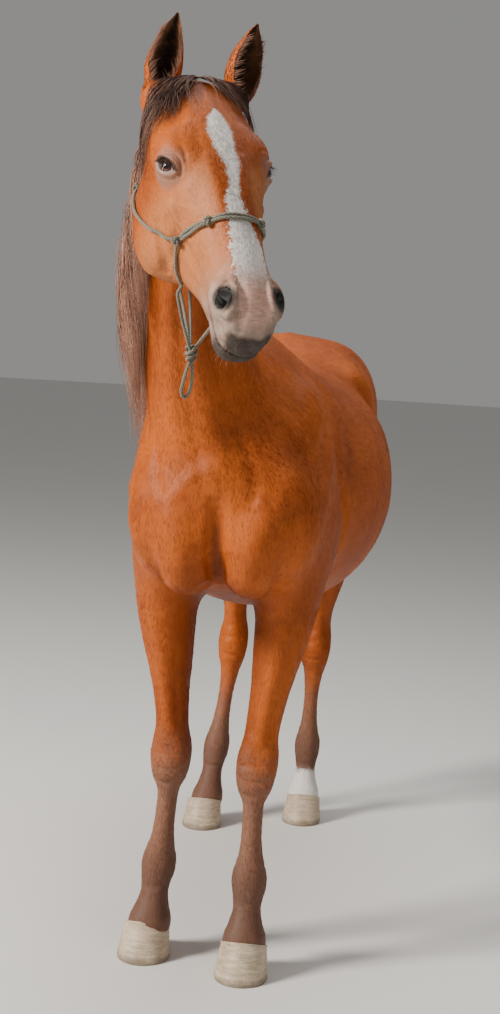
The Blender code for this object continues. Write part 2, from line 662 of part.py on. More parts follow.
def neck_side(name, back):
    """Everything beyond the cut below the neck, moved along the cut's direction."""
    point, normal = (np.array(v) for v in NECK_CUT)
    normal = unit(normal)
    axes = (np.array((1.0, 0, 0)), normal, np.cross((1.0, 0, 0), normal))
    return block(name, point + back * normal, axes, (-0.8, 0, -0.9), (0.8, 1.4, 0.9))


def head_side(name, back):
    """Everything above the cut under the jaw and ahead of the cut behind it, with both cuts moved inwards."""
    forward, up = HEAD.axes @ np.array(HEAD_CUT_FORWARD), HEAD.axes @ unit(HEAD_CUT_UP)
    lean = np.linalg.norm(np.cross(forward, up))
    corner = on_head([HEAD_CORNER])[0] + (forward + up) * back / lean
    return block(name, corner, (HEAD.axes[:, 0], forward, up), (-0.3, 0, 0), (0.3, 1.2, 0.9))


def neck():
    thing = flesh("neck", (-0.36, -1.20, 1.08), (0.30, -0.36, 2.08), 0.014, 760)
    boolean(thing, neck_side("neck_keep", HALF_GAP), "INTERSECT")
    boolean(thing, head_side("head_room", -HALF_GAP))
    return thing


def head():
    thing = flesh("head", (-0.34, -1.46, 1.34), (0.26, -0.74, 2.03), 0.0085, 960)
    boolean(thing, head_side("head_keep", HALF_GAP), "INTERSECT")
    for side, word in ((1, "left"), (-1, "right")):
        boolean(thing, ball(f"eye_socket_{word}", side, EYE_RADIUS + GAP))
        boolean(thing, eye_opening(word, side))
    return thing


# ---------------------------------------------------------------- eyes
EYE_OPENING = (0.021, 0.0145, 0.016)     # half length, half height and depth of the opening between the lids
OPENING_FORWARD = 0.022                  # and how far its middle lies ahead of the eye's


def eye_axes(side):
    """The eye's gaze, its length along the face, and its height, in the horse's frame."""
    gaze = HEAD.axes @ unit((side * EYE_GAZE[0], EYE_GAZE[1], EYE_GAZE[2]))
    along = HEAD.axes @ unit((0.0, 0.45, 0.9))
    along = unit(along - along @ gaze * gaze)
    return gaze, along, np.cross(gaze, along)


def globe(centre, axes, sizes, rows=7, columns=13):
    """Points and faces of an ellipsoid about its first axis."""
    polar = np.linspace(0, math.pi, rows + 1)[1:-1]
    round_ = np.linspace(0, 2 * math.pi, columns, endpoint=False)
    p, r = np.meshgrid(polar, round_, indexing="ij")
    local = np.stack([np.cos(p), np.sin(p) * np.cos(r), np.sin(p) * np.sin(r)], axis=-1).reshape(-1, 3)
    local = np.concatenate([local, [(1, 0, 0), (-1, 0, 0)]]) * sizes
    faces = grid_faces(rows - 1, columns, ring=True)
    first, last = (rows - 1) * columns, (rows - 2) * columns
    for k in range(columns):
        after = (k + 1) % columns
        faces.append((first, after, k))
        faces.append((first + 1, last + k, last + after))
    return np.asarray(centre) + local @ np.asarray(axes), faces


def eye_centre(side):
    return on_head([(side * EYE[0], EYE[1], EYE[2])])[0]


def ball(name, side, radius):
    points, faces = globe(eye_centre(side), eye_axes(side), (radius,) * 3)
    return cutter(name, points, faces)


def eye_opening(word, side):
    length, height, depth = EYE_OPENING
    gaze, along, up = eye_axes(side)
    centre = eye_centre(side) + gaze * OPENING_FORWARD
    points, faces = globe(centre, (gaze, along, up), (depth, length, height), columns=12)
    return cutter(f"eye_opening_{word}", points, faces)


def eyes():
    for side, word in ((1, "left"), (-1, "right")):
        points, faces = globe(eye_centre(side), eye_axes(side), (EYE_RADIUS,) * 3)
        add(f"eye_{word}", points, faces, "eye")


# ---------------------------------------------------------------- hooves
def coronet(x, y, outward):
    """A point on the hoof's slanted top, and the direction across that top."""
    ahead, behind = HOOF_TOP[1:]
    normal = unit((0, HOOF_TOE - HOOF_HEEL, ahead + behind))
    return np.array((x, y - ahead, HOOF_TOE)) + outward * normal, normal


def coronet_cutter(name, x, y):
    """What a hoof takes away from the leg above it."""
    point, normal = coronet(x, y, GAP)
    axes = ((1, 0, 0), np.cross(normal, (1, 0, 0)), normal)
    return block(name + "_coronet", point, axes, (-0.15, -0.15, -0.2), (0.15, 0.3, 0.0))


def hoof(name, x, y, size):
    """The wall flares from the coronet down to the sole, and the top slopes down to the heels."""
    point, normal = coronet(x, y, 0)
    columns = 20
    turn = np.linspace(0, 2 * math.pi, columns, endpoint=False)
    side, back = np.sin(turn), -np.cos(turn)
    narrow = 1 - 0.12 * np.clip(back, 0, 1) ** 2
    top, ground = np.array(HOOF_TOP) * size, np.array(HOOF_GROUND) * size
    height = HOOF_BEVEL / HOOF_TOE
    rings = []
    for shape, level in ((ground - 0.002, 0), (ground + (top - ground) * height, HOOF_BEVEL), (top, None)):
        width, ahead, behind = shape
        px = x + side * width * narrow
        py = y + (behind - ahead) / 2 + back * (behind + ahead) / 2
        sloped = point[2] - (py - point[1]) * normal[1] / normal[2]
        rings.append(np.stack([px, py, sloped if level is None else np.full(columns, level)], axis=1))
    return tube(name, np.array(rings), "hoof")


def hooves():
    for name, line in LEG_LINES.items():
        size = 1.0 if name.startswith("front") else HIND_HOOF
        hoof(name.replace("leg", "hoof"), line[0][1], line[0][2], size)


# ---------------------------------------------------------------- ears
EAR_ROOTS = {"right": (-0.071, -0.052, 0.008), "left": (0.100, -0.052, 0.016)}
EAR_TIPS = {"right": (-0.035, 0.050, -0.132), "left": (0.118, 0.100, -0.062)}
EAR_FACING = {"right": (-0.33, 0.74, 0.50), "left": (0.15, 0.80, 0.55)}
EAR_WALL = 0.0045
# share of the ear's length, radius of the cup, half the angle that its wall goes round
EAR = [(0.0, 0.021, 155), (0.15, 0.029, 140), (0.35, 0.0375, 118), (0.55, 0.035, 102), (0.75, 0.026, 88),
       (0.90, 0.0145, 76), (1.0, 0.0045, 66)]


def ear(word, guard):
    """A cup rolled from a leaf, open towards the front, its tip curving in towards the other ear."""
    root, tip = on_head([EAR_ROOTS[word], EAR_TIPS[word]])
    axis = tip - root
    along = unit(axis)
    facing = HEAD.axes @ np.array(EAR_FACING[word])
    facing = unit(facing - facing @ along * along)
    side = np.cross(along, facing)
    rows, columns = 7, 7
    share = np.linspace(0, 1, rows)
    places, radii, angles = (np.array(v) for v in zip(*EAR))
    radius, half = curve(places, radii, share), np.radians(curve(places, angles, share))
    round_ = np.linspace(-1, 1, columns)[None] * half[:, None]
    bulge = -0.012 * np.sin(share * math.pi)[:, None]
    centre = root + share[:, None] * axis + bulge * facing
    grids = []
    for wall in (EAR_WALL / 2, -EAR_WALL / 2):
        r = (radius + wall * np.clip(2.2 * (1.04 - share), 0.25, 1))[:, None, None]
        away = np.sin(round_)[..., None] * side - np.cos(round_)[..., None] * facing
        grids.append(centre[:, None] + r * away)
    thing = shell(f"ear_{word}", grids[0], grids[1], "coat")
    boolean(thing, guard)


# ---------------------------------------------------------------- mane, forelock and tail
MANE_FRONT, MANE_BACK = -0.880, -0.44     # from behind the ears to the withers
# share of the way back, length of the hair, how deep it hangs
MANE = [(0.0, 0.36, 0.044), (0.2, 0.52, 0.074), (0.45, 0.55, 0.074), (0.7, 0.42, 0.048), (1.0, 0.20, 0.013)]
# share of the fall, share of the depth
MANE_SWELL = [(0.0, 0.20), (0.12, 0.55), (0.45, 1.0), (0.75, 0.85), (1.0, 0.30)]


def neck_slice(y):
    """A slice across the neck at y: its levels, how far right the flesh reaches there, its top and crest."""
    x, levels = np.linspace(-0.36, 0.16, 131), np.linspace(1.05, 2.05, 201)
    grid = np.stack(np.meshgrid(x, levels, indexing="ij"), axis=-1).reshape(-1, 2)
    places = np.stack([grid[:, 0], np.full(len(grid), y), grid[:, 1]], axis=1)
    inside = (body(places) < COAT).reshape(len(x), len(levels))
    top = np.flatnonzero(inside.any(axis=0)).max()
    crest = x[inside[:, top]].mean()
    reach = np.where(inside.any(axis=0), x[inside.argmax(axis=0)], crest)
    return levels, reach, levels[top], crest


def mane(guards):
    """Hair that leaves the crest, goes over the neck's right side and hangs from where that is widest."""
    columns, rows = 9, 8
    share = np.linspace(0, 1, columns)
    places, lengths, depths = (np.array(v) for v in zip(*MANE))
    length, depth = curve(places, lengths, share), curve(places, depths, share)
    outer, inner = [], []
    fall = np.linspace(0, 1, rows) ** 1.6
    swell = np.interp(fall, *zip(*MANE_SWELL))
    for s, y in enumerate(MANE_FRONT + (MANE_BACK - MANE_FRONT) * share):
        levels, reach, top, crest = neck_slice(y)
        z = top - length[s] * fall
        x = np.minimum.accumulate(np.minimum(np.interp(z, levels, reach), crest))
        x[0] = crest + 0.010
        line = np.stack([x, np.full(rows, y), z], axis=1)
        step = np.gradient(line, axis=0)
        away = np.stack([step[:, 2], np.zeros(rows), -step[:, 0]], axis=1)
        away /= np.linalg.norm(away, axis=1)[:, None]
        outer.append(line + away * depth[s] * swell[:, None])
        inner.append(line - away * 0.004)
    thing = shell("mane", np.array(outer), np.array(inner), "hair")
    for guard in guards:
        boolean(thing, guard)


def forelock(guards):
    """A thin fan of hair from the poll down the forehead, longest at its sides, parted over the eyes."""
    columns, rows = 9, 6
    angle = np.radians(np.linspace(-62, 62, columns))[:, None]
    fall = np.linspace(0, 1, rows)[None]
    length = 0.085 + 0.050 * np.abs(np.sin(angle))
    x = 0.020 * np.sin(angle) + fall * length * np.sin(angle) * 0.75
    s = -0.012 + fall * length * (0.35 + 0.65 * np.cos(angle))
    start = on_head(np.stack([x, np.full(x.shape, 0.030), s], axis=-1).reshape(-1, 3))
    bottom = settle(start, COAT, 4)
    out = slope(bottom)
    out /= np.linalg.norm(out, axis=1)[:, None]
    depth = np.repeat((0.009 - 0.005 * fall), columns, axis=0).reshape(-1, 1)
    outer = (bottom + out * depth).reshape(columns, rows, 3)
    inner = (bottom - out * 0.003).reshape(columns, rows, 3)
    thing = shell("forelock", outer, inner, "hair")
    for guard in guards:
        boolean(thing, guard)


# height, back, half width, half depth of the tail, from its root down
TAIL = [(1.360, 0.800, 0.030, 0.030), (1.350, 0.850, 0.032, 0.034), (1.300, 0.900, 0.036, 0.038),
        (1.200, 0.925, 0.048, 0.044), (1.050, 0.930, 0.062, 0.050), (0.880, 0.920, 0.072, 0.052),
        (0.720, 0.905, 0.072, 0.048), (0.580, 0.892, 0.056, 0.036), (0.470, 0.885, 0.030, 0.020),
        (0.420, 0.883, 0.010, 0.008)]


def tail(guards):
    """Hair that leaves the dock backwards, turns down and ends in a point below the hocks."""
    z, y, width, depth = (np.array(v) for v in zip(*TAIL))
    stations = np.arange(len(TAIL))
    at = np.linspace(0, len(TAIL) - 1, 15)
    line = np.stack([np.zeros(len(at)), curve(stations, y, at), curve(stations, z, at)], axis=1)
    heading = np.gradient(line, axis=0)
    heading /= np.linalg.norm(heading, axis=1)[:, None]
    away = np.cross(heading, (1, 0, 0))
    turn = np.linspace(0, 2 * math.pi, 12, endpoint=False)
    rings = [p + np.outer(np.cos(turn), (w, 0, 0)) + np.outer(np.sin(turn) * d, a)
             for p, a, w, d in zip(line, away, curve(stations, width, at), curve(stations, depth, at))]
    thing = tube("tail", np.array(rings), "hair")
    for guard in guards:
        boolean(thing, guard)


# ---------------------------------------------------------------- halter, in the head's own frame
KNOTS = {"throat_right": (-0.103, -0.205, 0.105), "throat_left": (0.103, -0.205, 0.105),
         "cheek_right": (-0.073, -0.106, 0.333), "cheek_left": (0.076, -0.112, 0.340),
         "nose_right": (-0.049, -0.003, 0.374), "nose_left": (0.042, 0.012, 0.388)}
CHIN = (-0.010, -0.310, 0.450)    # the knot that hangs under the jaw
CHIN_KNOT = 0.016                 # its radius
LOOP = [(-0.016, -0.325, 0.470), (-0.021, -0.375, 0.500), (-0.014, -0.392, 0.508), (-0.006, -0.375, 0.502),
        (-0.004, -0.330, 0.474)]
STRAND_APART = 0.0040             # half the distance between the two strands over the nose


def mirrored(point, side):
    return (side * point[0], point[1], point[2])


def rope_line(points, hug=0.012):
    """A smooth line through the points. Where it passes closer than that over the flesh it lies on it. Its
    ends stay put."""
    walked = np.concatenate([[0], np.cumsum(np.linalg.norm(np.diff(points, axis=0), axis=1))])
    at = np.linspace(0, walked[-1], int(walked[-1] / 0.004))
    line = np.stack([curve(walked, np.asarray(points)[:, k], at) for k in range(3)], axis=1)
    for _ in range(5):
        inner = line[1:-1]
        close = body(inner) - COAT < ROPE_OFF + hug
        inner[close] = settle(inner[close], COAT + ROPE_OFF, 1)
        line[1:-1] = (line[:-2] + 2 * inner + line[2:]) / 4
    low = body(line) - COAT < ROPE_OFF
    line[low] = settle(line[low], COAT + ROPE_OFF)
    return line


def rope(name, points, knots=(), hug=0.012):
    """A rope through the points, stopping just short of the knots, each of which is a centre and a radius."""
    line = rope_line(points, hug)
    for centre, radius in knots:
        line = line[np.linalg.norm(line - centre, axis=1) > radius + KNOT_CLEAR]
    walked = np.concatenate([[0], np.cumsum(np.linalg.norm(np.diff(line, axis=0), axis=1))])
    at = np.linspace(0, walked[-1], max(3, int(walked[-1] / ROPE_STEP)))
    line = np.stack([np.interp(at, walked, line[:, k]) for k in range(3)], axis=1)
    route = bpy.data.curves.new(name, "CURVE")
    route.dimensions = "3D"
    route.bevel_depth = ROPE / 2
    route.bevel_resolution = 1
    route.use_fill_caps = True
    spline = route.splines.new("POLY")
    spline.points.add(len(line) - 1)
    for point, place in zip(spline.points, line):
        point.co = (*place, 1)
    route.materials.append(material(f"rope.{name}"))
    thing = bpy.data.objects.new(name, route)
    bpy.context.scene.collection.objects.link(thing)


def halter():
    """Knots over the head, strands laid between them, and the loop that hangs from the lowest knot."""
    chin = on_head([CHIN])[0]
    knots = {"chin": (chin, CHIN_KNOT)}
    for name, point in KNOTS.items():
        knots[name] = (settle(on_head([point]), COAT + KNOT + 0.001, 3)[0], KNOT)
    for name, (centre, radius) in knots.items():
        points, faces = globe(centre, np.eye(3), (radius,) * 3, rows=5, columns=8)
        add(f"halter_knot_{name}", points, faces, "rope")

    def tie(name, first, last, between, hug=0.012):
        """A rope from one knot to another through points on or under the head."""
        points = [knots[first][0], *on_head(between), knots[last][0]]
        rope(f"halter_{name}", points, (knots[first], knots[last]), hug)

    for side, word in ((-1, "right"), (1, "left")):
        throat, cheek = f"throat_{word}", f"cheek_{word}"
        tie(f"cheek_{word}", throat, cheek, [(side * 0.105, -0.168, 0.220)])
        tie(f"throat_{word}", throat, "chin", [(side * 0.070, -0.285, 0.135), (side * 0.045, -0.318, 0.200),
                                               (side * 0.032 + 0.004, -0.322, 0.300)])
        under = [(side * 0.070, -0.165, 0.360), (side * 0.045 - 0.005, -0.225, 0.405)]
        tie(f"chin_{word}", cheek, "chin", under)
    over = [(0.098, -0.150, 0.030), (0.080, -0.098, -0.040), (0.045, -0.062, -0.062)]
    crown = [mirrored(p, -1) for p in over] + [(0, -0.050, -0.066)] + over[::-1]
    tie("crown", "throat_right", "throat_left", crown, hug=0.05)
    for word, first, last in (("right", "cheek_right", "nose_right"), ("middle", "nose_right", "nose_left"),
                              ("left", "nose_left", "cheek_left")):
        stops = knots[first], knots[last]
        start, end = stops[0][0], stops[1][0]
        out = slope((start + end)[None] / 2)[0]
        down = unit(np.cross(out, end - start)) * STRAND_APART
        for height, apart in (("upper", down), ("lower", -down)):
            middle = settle([(start + end) / 2 + apart], COAT + ROPE_OFF, 4)[0]
            rope(f"halter_nose_{height}_{word}", [start + apart, middle, end + apart], stops)
    rope("halter_loop", on_head(LOOP))


# ---------------------------------------------------------------- the horse
def stand_on_origin():
    """Moves every piece so that the middle of the horse's box stands on the origin."""
    bpy.context.view_layer.update()
    graph = bpy.context.evaluated_depsgraph_get()
    corners = []
    for thing in bpy.context.scene.objects:
        if not thing.hide_render:
            made = thing.evaluated_get(graph)
            places = np.array([tuple(vertex.co) for vertex in made.to_mesh().vertices])
            corners += [places.min(axis=0), places.max(axis=0)]
            made.to_mesh_clear()
    low, high = np.min(corners, axis=0), np.max(corners, axis=0)
    horse = bpy.data.objects.new("horse", None)
    bpy.context.scene.collection.objects.link(horse)
    for thing in bpy.context.scene.objects:
        if thing != horse:
            thing.parent = horse
    horse.location = (-(low[0] + high[0]) / 2, -(low[1] + high[1]) / 2, -low[2])


def main():
    for thing in list(bpy.data.objects):
        bpy.data.objects.remove(thing, do_unlink=True)
    pieces = {**legs(), "trunk": trunk(), "neck": neck(), "head": head()}
    guards = {name: grown_copy(pieces[name], GUARD) for name in ("trunk", "neck", "head")}
    eyes()
    hooves()
    for word in ("left", "right"):
        ear(word, guards["head"])
    mane([guards["head"], guards["trunk"], guards["neck"]])
    forelock([guards["head"]])
    tail([guards["trunk"]])
    halter()
    stand_on_origin()


main()
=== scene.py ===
"""A life-size bay horse in a knotted rope halter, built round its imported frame.

The flesh is one implicit form, worked out as a field: lofts and lumps blended together, then carved by
hollows and shaped by strokes. The skin is the surface where that field is zero. Coat, mane, forelock, tail,
whiskers, hooves and halter are laid on the same form, in the horse's own frame: X is its left, it faces -Y, Z
is up.
"""

import math

import bmesh
import bpy
import numpy as np
from mathutils import Matrix, Vector


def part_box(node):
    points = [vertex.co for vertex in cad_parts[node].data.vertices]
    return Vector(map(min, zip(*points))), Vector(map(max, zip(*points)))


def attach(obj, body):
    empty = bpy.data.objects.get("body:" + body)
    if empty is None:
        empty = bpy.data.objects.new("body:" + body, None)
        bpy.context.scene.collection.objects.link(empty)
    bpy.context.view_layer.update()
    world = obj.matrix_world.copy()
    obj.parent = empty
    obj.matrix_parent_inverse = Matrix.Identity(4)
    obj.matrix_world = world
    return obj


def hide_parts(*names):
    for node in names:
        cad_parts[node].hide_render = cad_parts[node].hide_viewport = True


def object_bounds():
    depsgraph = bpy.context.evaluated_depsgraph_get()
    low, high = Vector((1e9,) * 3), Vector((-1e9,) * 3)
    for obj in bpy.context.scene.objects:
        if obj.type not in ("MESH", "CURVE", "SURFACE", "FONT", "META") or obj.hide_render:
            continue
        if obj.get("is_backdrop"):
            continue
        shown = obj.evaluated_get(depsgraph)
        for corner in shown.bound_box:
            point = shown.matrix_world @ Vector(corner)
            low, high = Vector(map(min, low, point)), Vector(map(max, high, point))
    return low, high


bl_info = {
    "name": "Bay horse",
    "version": (1, 0, 0),
    "blender": (4, 5, 0),
    "location": "View3D > Sidebar > Horse",
    "description": "Dresses the packed horse: skin, coat, hair, eyes, hooves and halter",
    "category": "Object",
}

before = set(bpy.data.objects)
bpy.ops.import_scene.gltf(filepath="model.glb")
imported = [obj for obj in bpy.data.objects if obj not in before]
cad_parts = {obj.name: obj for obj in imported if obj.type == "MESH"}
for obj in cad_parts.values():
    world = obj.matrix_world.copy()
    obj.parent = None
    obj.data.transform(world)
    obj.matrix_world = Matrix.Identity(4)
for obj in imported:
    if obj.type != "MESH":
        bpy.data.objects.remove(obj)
CAD_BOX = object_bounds()
ROOT = "root"

# ---------------------------------------------------------------- driving dimensions, in metres
POLL = (-0.069, -1.016, 1.980)    # top of the head, between the ears
HEAD_TURN, HEAD_NOD, HEAD_TILT = math.radians(28), math.radians(39), math.radians(-2)
HEAD_SIZE = 1.015                 # against the sizes in its tables
NECK_ROOT, NECK_TOP = (0.0, -0.53, 1.17), (-0.050, -0.930, 1.895)
EYE = (0.0915, -0.0230, 0.2262)   # in the head's own frame, as are all places on the head
EYE_GAZE = (0.84, 0.50, 0.14)
EYE_RADIUS = 0.0225
# half width of a hoof, and its reach ahead of and behind the leg's line, at the coronet and at the ground
HOOF_TOP = (0.0530, 0.077, 0.036)
HOOF_GROUND = (0.0625, 0.126, 0.018)
HIND_HOOF = 0.94                  # a hind hoof's size against a fore hoof's
HOOF_TOE, HOOF_HEEL = 0.088, 0.050    # heights of the wall


# ---------------------------------------------------------------- the form's building blocks
REACH = 0.012                     # how far outside a solid its field is still worked out
TINY = 1e-3                       # share of a solid's size within which its middle lies


def unit(v):
    """The vector at length one."""
    v = np.asarray(v, float)
    return v / np.linalg.norm(v, axis=-1, keepdims=True)


def curve(stations, values, at):
    """A smooth curve through the stations: a cubic between each two, with slopes shared at the stations."""
    s, v, t = (np.asarray(a, float) for a in (stations, values, at))
    slope = np.gradient(v, s)
    i = np.clip(np.searchsorted(s, t, side="right") - 1, 0, len(s) - 2)
    h = s[i + 1] - s[i]
    u = np.clip((t - s[i]) / h, 0, 1)
    near, far = (1 + 2 * u) * (1 - u) ** 2, u * u * (3 - 2 * u)
    rise, fall = u * (1 - u) ** 2, u * u * (u - 1)
    return near * v[i] + far * v[i + 1] + h * (rise * slope[i] + fall * slope[i + 1])


def through(stations, rows, at):
    """The curve of each column of a table of rows."""
    return np.stack([curve(stations, column, at) for column in np.transpose(rows)], axis=1)


def walk(line):
    """How far along a line each of its points is."""
    return np.concatenate([[0], np.cumsum(np.linalg.norm(np.diff(line, axis=0), axis=1))])


def smooth_min(a, b, k):
    """The lower of two fields, with a fillet of width k where they meet."""
    h = np.clip(k - np.abs(a - b), 0, None) / k
    return np.minimum(a, b) - h * h * k / 4


def ease(t):
    """Rises smoothly from 0 to 1 as t does."""
    t = np.clip(t, 0, 1)
    return t * t * (3 - 2 * t)


class Frame:
    """A place with three directions: across (x), up (y) and along (z) of whatever is built in it."""

    def __init__(self, origin, across, up, along):
        self.origin = np.asarray(origin, float)
        self.axes = np.stack([unit(across), unit(up), unit(along)], axis=1)

    def local(self, points):
        return (points - self.origin) @ self.axes

    def world(self, points):
        return self.origin + np.asarray(points, float) @ self.axes.T


class Loft:
    """A tube of rounded sections. Each station gives its place along the tube, its half width, its low and
    high edge and the height of its widest level, in millimetres, and how square it is above and below
    that."""

    SAMPLES = 200

    def __init__(self, stations, blend):
        rows = np.array(stations, float)
        rows[:, :5] /= 1000
        self.blend = blend
        self.start, self.end = rows[0, 0], rows[-1, 0]
        self.at = np.linspace(self.start, self.end, self.SAMPLES)
        self.shape = through(rows[:, 0], rows[:, 1:], self.at).T
        width = self.shape[0].max()
        self.low = np.array([-width, self.shape[1].min(), self.start])
        self.high = np.array([width, self.shape[2].max(), self.end])

    def near(self, points):
        margin = 1.5 * self.blend + REACH
        return np.all((points > self.low - margin) & (points < self.high + margin), axis=1)

    def field(self, points):
        """Distance outside the tube's wall, measured along the ray from its axis."""
        s = np.clip(points[:, 2], self.start, self.end)
        width, low, high, level, above, below = (np.interp(s, self.at, row) for row in self.shape)
        dx, dy = points[:, 0], points[:, 1] - level
        height = np.maximum(np.where(dy > 0, high - level, level - low), 1e-4)
        power = np.where(dy > 0, above, below)
        ratio = ((np.abs(dx) / width) ** power + (np.abs(dy) / height) ** power) ** (1 / power)
        reach = np.hypot(dx, dy)
        wall = np.where(ratio > TINY, reach - reach / np.maximum(ratio, TINY), -np.minimum(width, height))
        past = np.maximum(self.start - points[:, 2], points[:, 2] - self.end)
        return -smooth_min(-wall, -past, 0.02)


class Lump:
    """An ellipsoid of flesh: its centre, its half sizes, and the direction of the second of them."""

    def __init__(self, centre, sizes, up=(0, 1, 0), blend=0.03, axes=None):
        if axes is None:
            first, second = unit((1, 0, 0)), unit(np.asarray(up, float) * (0, 1, 1))
            axes = (first, second, np.cross(first, second))
        self.frame = Frame(centre, *axes)
        self.sizes, self.blend = np.asarray(sizes, float), blend

    def near(self, points):
        reach = self.sizes.max() + 1.5 * self.blend + REACH
        return np.all(np.abs(points - self.frame.origin) < reach, axis=1)

    def field(self, points):
        q = self.frame.local(points)
        r = np.linalg.norm(q / self.sizes, axis=1)
        g = np.linalg.norm(q / self.sizes ** 2, axis=1)
        return np.where(r > TINY, r * (r - 1) / np.maximum(g, 1e-6), -self.sizes.min())


class Stroke:
    """Raises the surface by its height, or sinks it where that is negative, along a line of points, and fades
    to nothing at its width."""

    def __init__(self, line, width, height):
        self.line = np.asarray(line, float)
        self.width = width
        self.height = np.broadcast_to(np.asarray(height, float), len(self.line))

    def apply(self, points, field, scale):
        inside = (points > self.line.min(0) - self.width) & (points < self.line.max(0) + self.width)
        near = np.flatnonzero(inside.all(axis=1))
        if not len(near):
            return
        p = points[near]
        best, lift = np.zeros(len(p)), np.zeros(len(p))
        for a, b, ha, hb in zip(self.line, self.line[1:], self.height, self.height[1:]):
            t = np.clip((p - a) @ (b - a) / ((b - a) @ (b - a)), 0, 1)
            d = np.linalg.norm(p - a - t[:, None] * (b - a), axis=1) / self.width
            w = np.clip(1 - d * d, 0, None) ** 2
            lift = np.where(w > best, w * (ha + (hb - ha) * t), lift)
            best = np.maximum(best, w)
        field[near] -= scale * lift


def strokes(rows, sides=(1,)):
    """Strokes from rows of their width, their height (one, or one for each point) and their points, in
    millimetres, on each of the sides."""
    return [Stroke(np.array(line) / 1000 * (side, 1, 1), width / 1000, np.array(height) / 1000)
            for width, height, *line in rows for side in sides]


class Group:
    """Flesh built in one frame: solids blended in turn, hollows taken out, then the strokes that shape it."""

    def __init__(self, to_local, to_world, solids, strokes, hollows=(), scale=1.0):
        self.to_local, self.to_world, self.scale = to_local, to_world, scale
        self.solids, self.strokes, self.hollows = solids, strokes, hollows

    def add_to(self, field, points):
        local = self.to_local(points)
        for solid in self.solids:
            near = np.flatnonzero(solid.near(local))
            if len(near):
                more = solid.field(local[near]) * self.scale
                field[near] = smooth_min(field[near], more, solid.blend * self.scale)

    def shape(self, field, points):
        local = self.to_local(points)
        near = np.flatnonzero(((local > self.low) & (local < self.high)).all(axis=1))
        if not len(near):
            return
        local, part = local[near], field[near]
        for stroke in self.strokes:
            stroke.apply(local, part, self.scale)
        self.carve(local, part)
        field[near] = part

    def carve(self, local, field):
        for hollow in self.hollows:
            near = np.flatnonzero(hollow.near(local))
            if len(near):
                less = hollow.field(local[near]) * self.scale
                field[near] = -smooth_min(-field[near], less, hollow.blend * self.scale)


# ---------------------------------------------------------------- trunk
# Tables of sections and strokes are in millimetres.
# place along the body, half width, belly, back, widest level, squareness above and below
TRUNK = [
    (-820, 100, 990, 1170, 1080, 2.0, 2.0),  # breast
    (-750, 165, 930, 1250, 1090, 2.0, 2.0),  # points of the shoulders
    (-640, 200, 880, 1350, 1090, 2.0, 2.2),
    (-520, 210, 862, 1430, 1080, 1.8, 2.4),
    (-400, 230, 845, 1488, 1080, 1.6, 2.3),  # withers
    (-280, 268, 815, 1475, 1080, 1.6, 2.2),
    (-140, 308, 780, 1430, 1080, 1.8, 2.1),
    (20, 335, 758, 1405, 1080, 2.0, 2.1),  # back and deepest belly
    (160, 332, 768, 1408, 1090, 2.1, 2.1),
    (300, 295, 825, 1435, 1120, 2.1, 2.1),  # loin and flank
    (420, 265, 905, 1475, 1170, 2.1, 2.0),
    (560, 250, 970, 1475, 1200, 2.2, 2.0),  # croup
    (680, 222, 1020, 1435, 1200, 2.2, 2.0),
    (780, 165, 1060, 1365, 1200, 2.2, 2.0),
    (840, 95, 1100, 1285, 1190, 2.0, 2.0),  # buttocks
]


CLEFT = [(0, 865, -720), (0, 900, -770), (0, 960, -810), (0, 1030, -830), (0, 1100, -830)]    # of the breast
# width, height, then points across, up and back
TRUNK_STROKES = [
    (34, (-3, -10, -19, -18, -6), *CLEFT),
    (20, (-1, -4, -10, -9, -2), *CLEFT),
    (55, (6, 11, 4), (78, 920, -800), (80, 980, -830), (85, 1050, -830)),
    # lower edge of the breast muscle, and the crease between it and the forearm
    (30, -14, (20, 885, -770), (80, 875, -760), (140, 900, -760)),
    (42, (-5, -16, -17), (158, 1120, -790), (155, 1000, -790), (142, 900, -750)),
    # ridge of the shoulder blade and the hollows beside it
    (40, 9, (165, 1380, -380), (205, 1220, -520), (205, 1110, -660)),
    (50, -11, (190, 1360, -280), (235, 1220, -380), (240, 1080, -420)),
    # back edge of the upper arm's muscle
    (35, -12, (250, 1100, -360), (235, 980, -340), (200, 900, -370)),
    # hollow of the flank, the line of the last rib, the girth
    (65, -17, (285, 1340, 260), (290, 1240, 310), (275, 1120, 340)),
    (30, 4, (300, 1330, 140), (325, 1180, 180), (315, 1020, 140)),
    (50, -4, (230, 900, -260), (180, 840, -280), (60, 810, -280)),
    # the haunch: front edge of the thigh, groove behind it, point of the buttock
    (35, 7, (225, 1260, 420), (235, 1120, 440), (215, 980, 440)),
    (28, -9, (190, 1340, 660), (215, 1200, 720), (195, 1000, 780)),
    (25, 3, (0, 1440, -200), (0, 1415, 100), (0, 1450, 350), (0, 1460, 600)),
    (30, 4, (60, 1300, 830), (65, 1150, 845), (60, 1000, 830)),
    (35, -14, (0, 1280, 880), (0, 1150, 880), (0, 1000, 850)),
]
RIBS, RIB_STEP = 7, 47


def trunk_local(points):
    """Across, up and back, with the two sides folded onto one."""
    return np.stack([np.abs(points[:, 0]), points[:, 2], points[:, 1]], axis=1)


def trunk_world(points):
    return points[:, [0, 2, 1]]


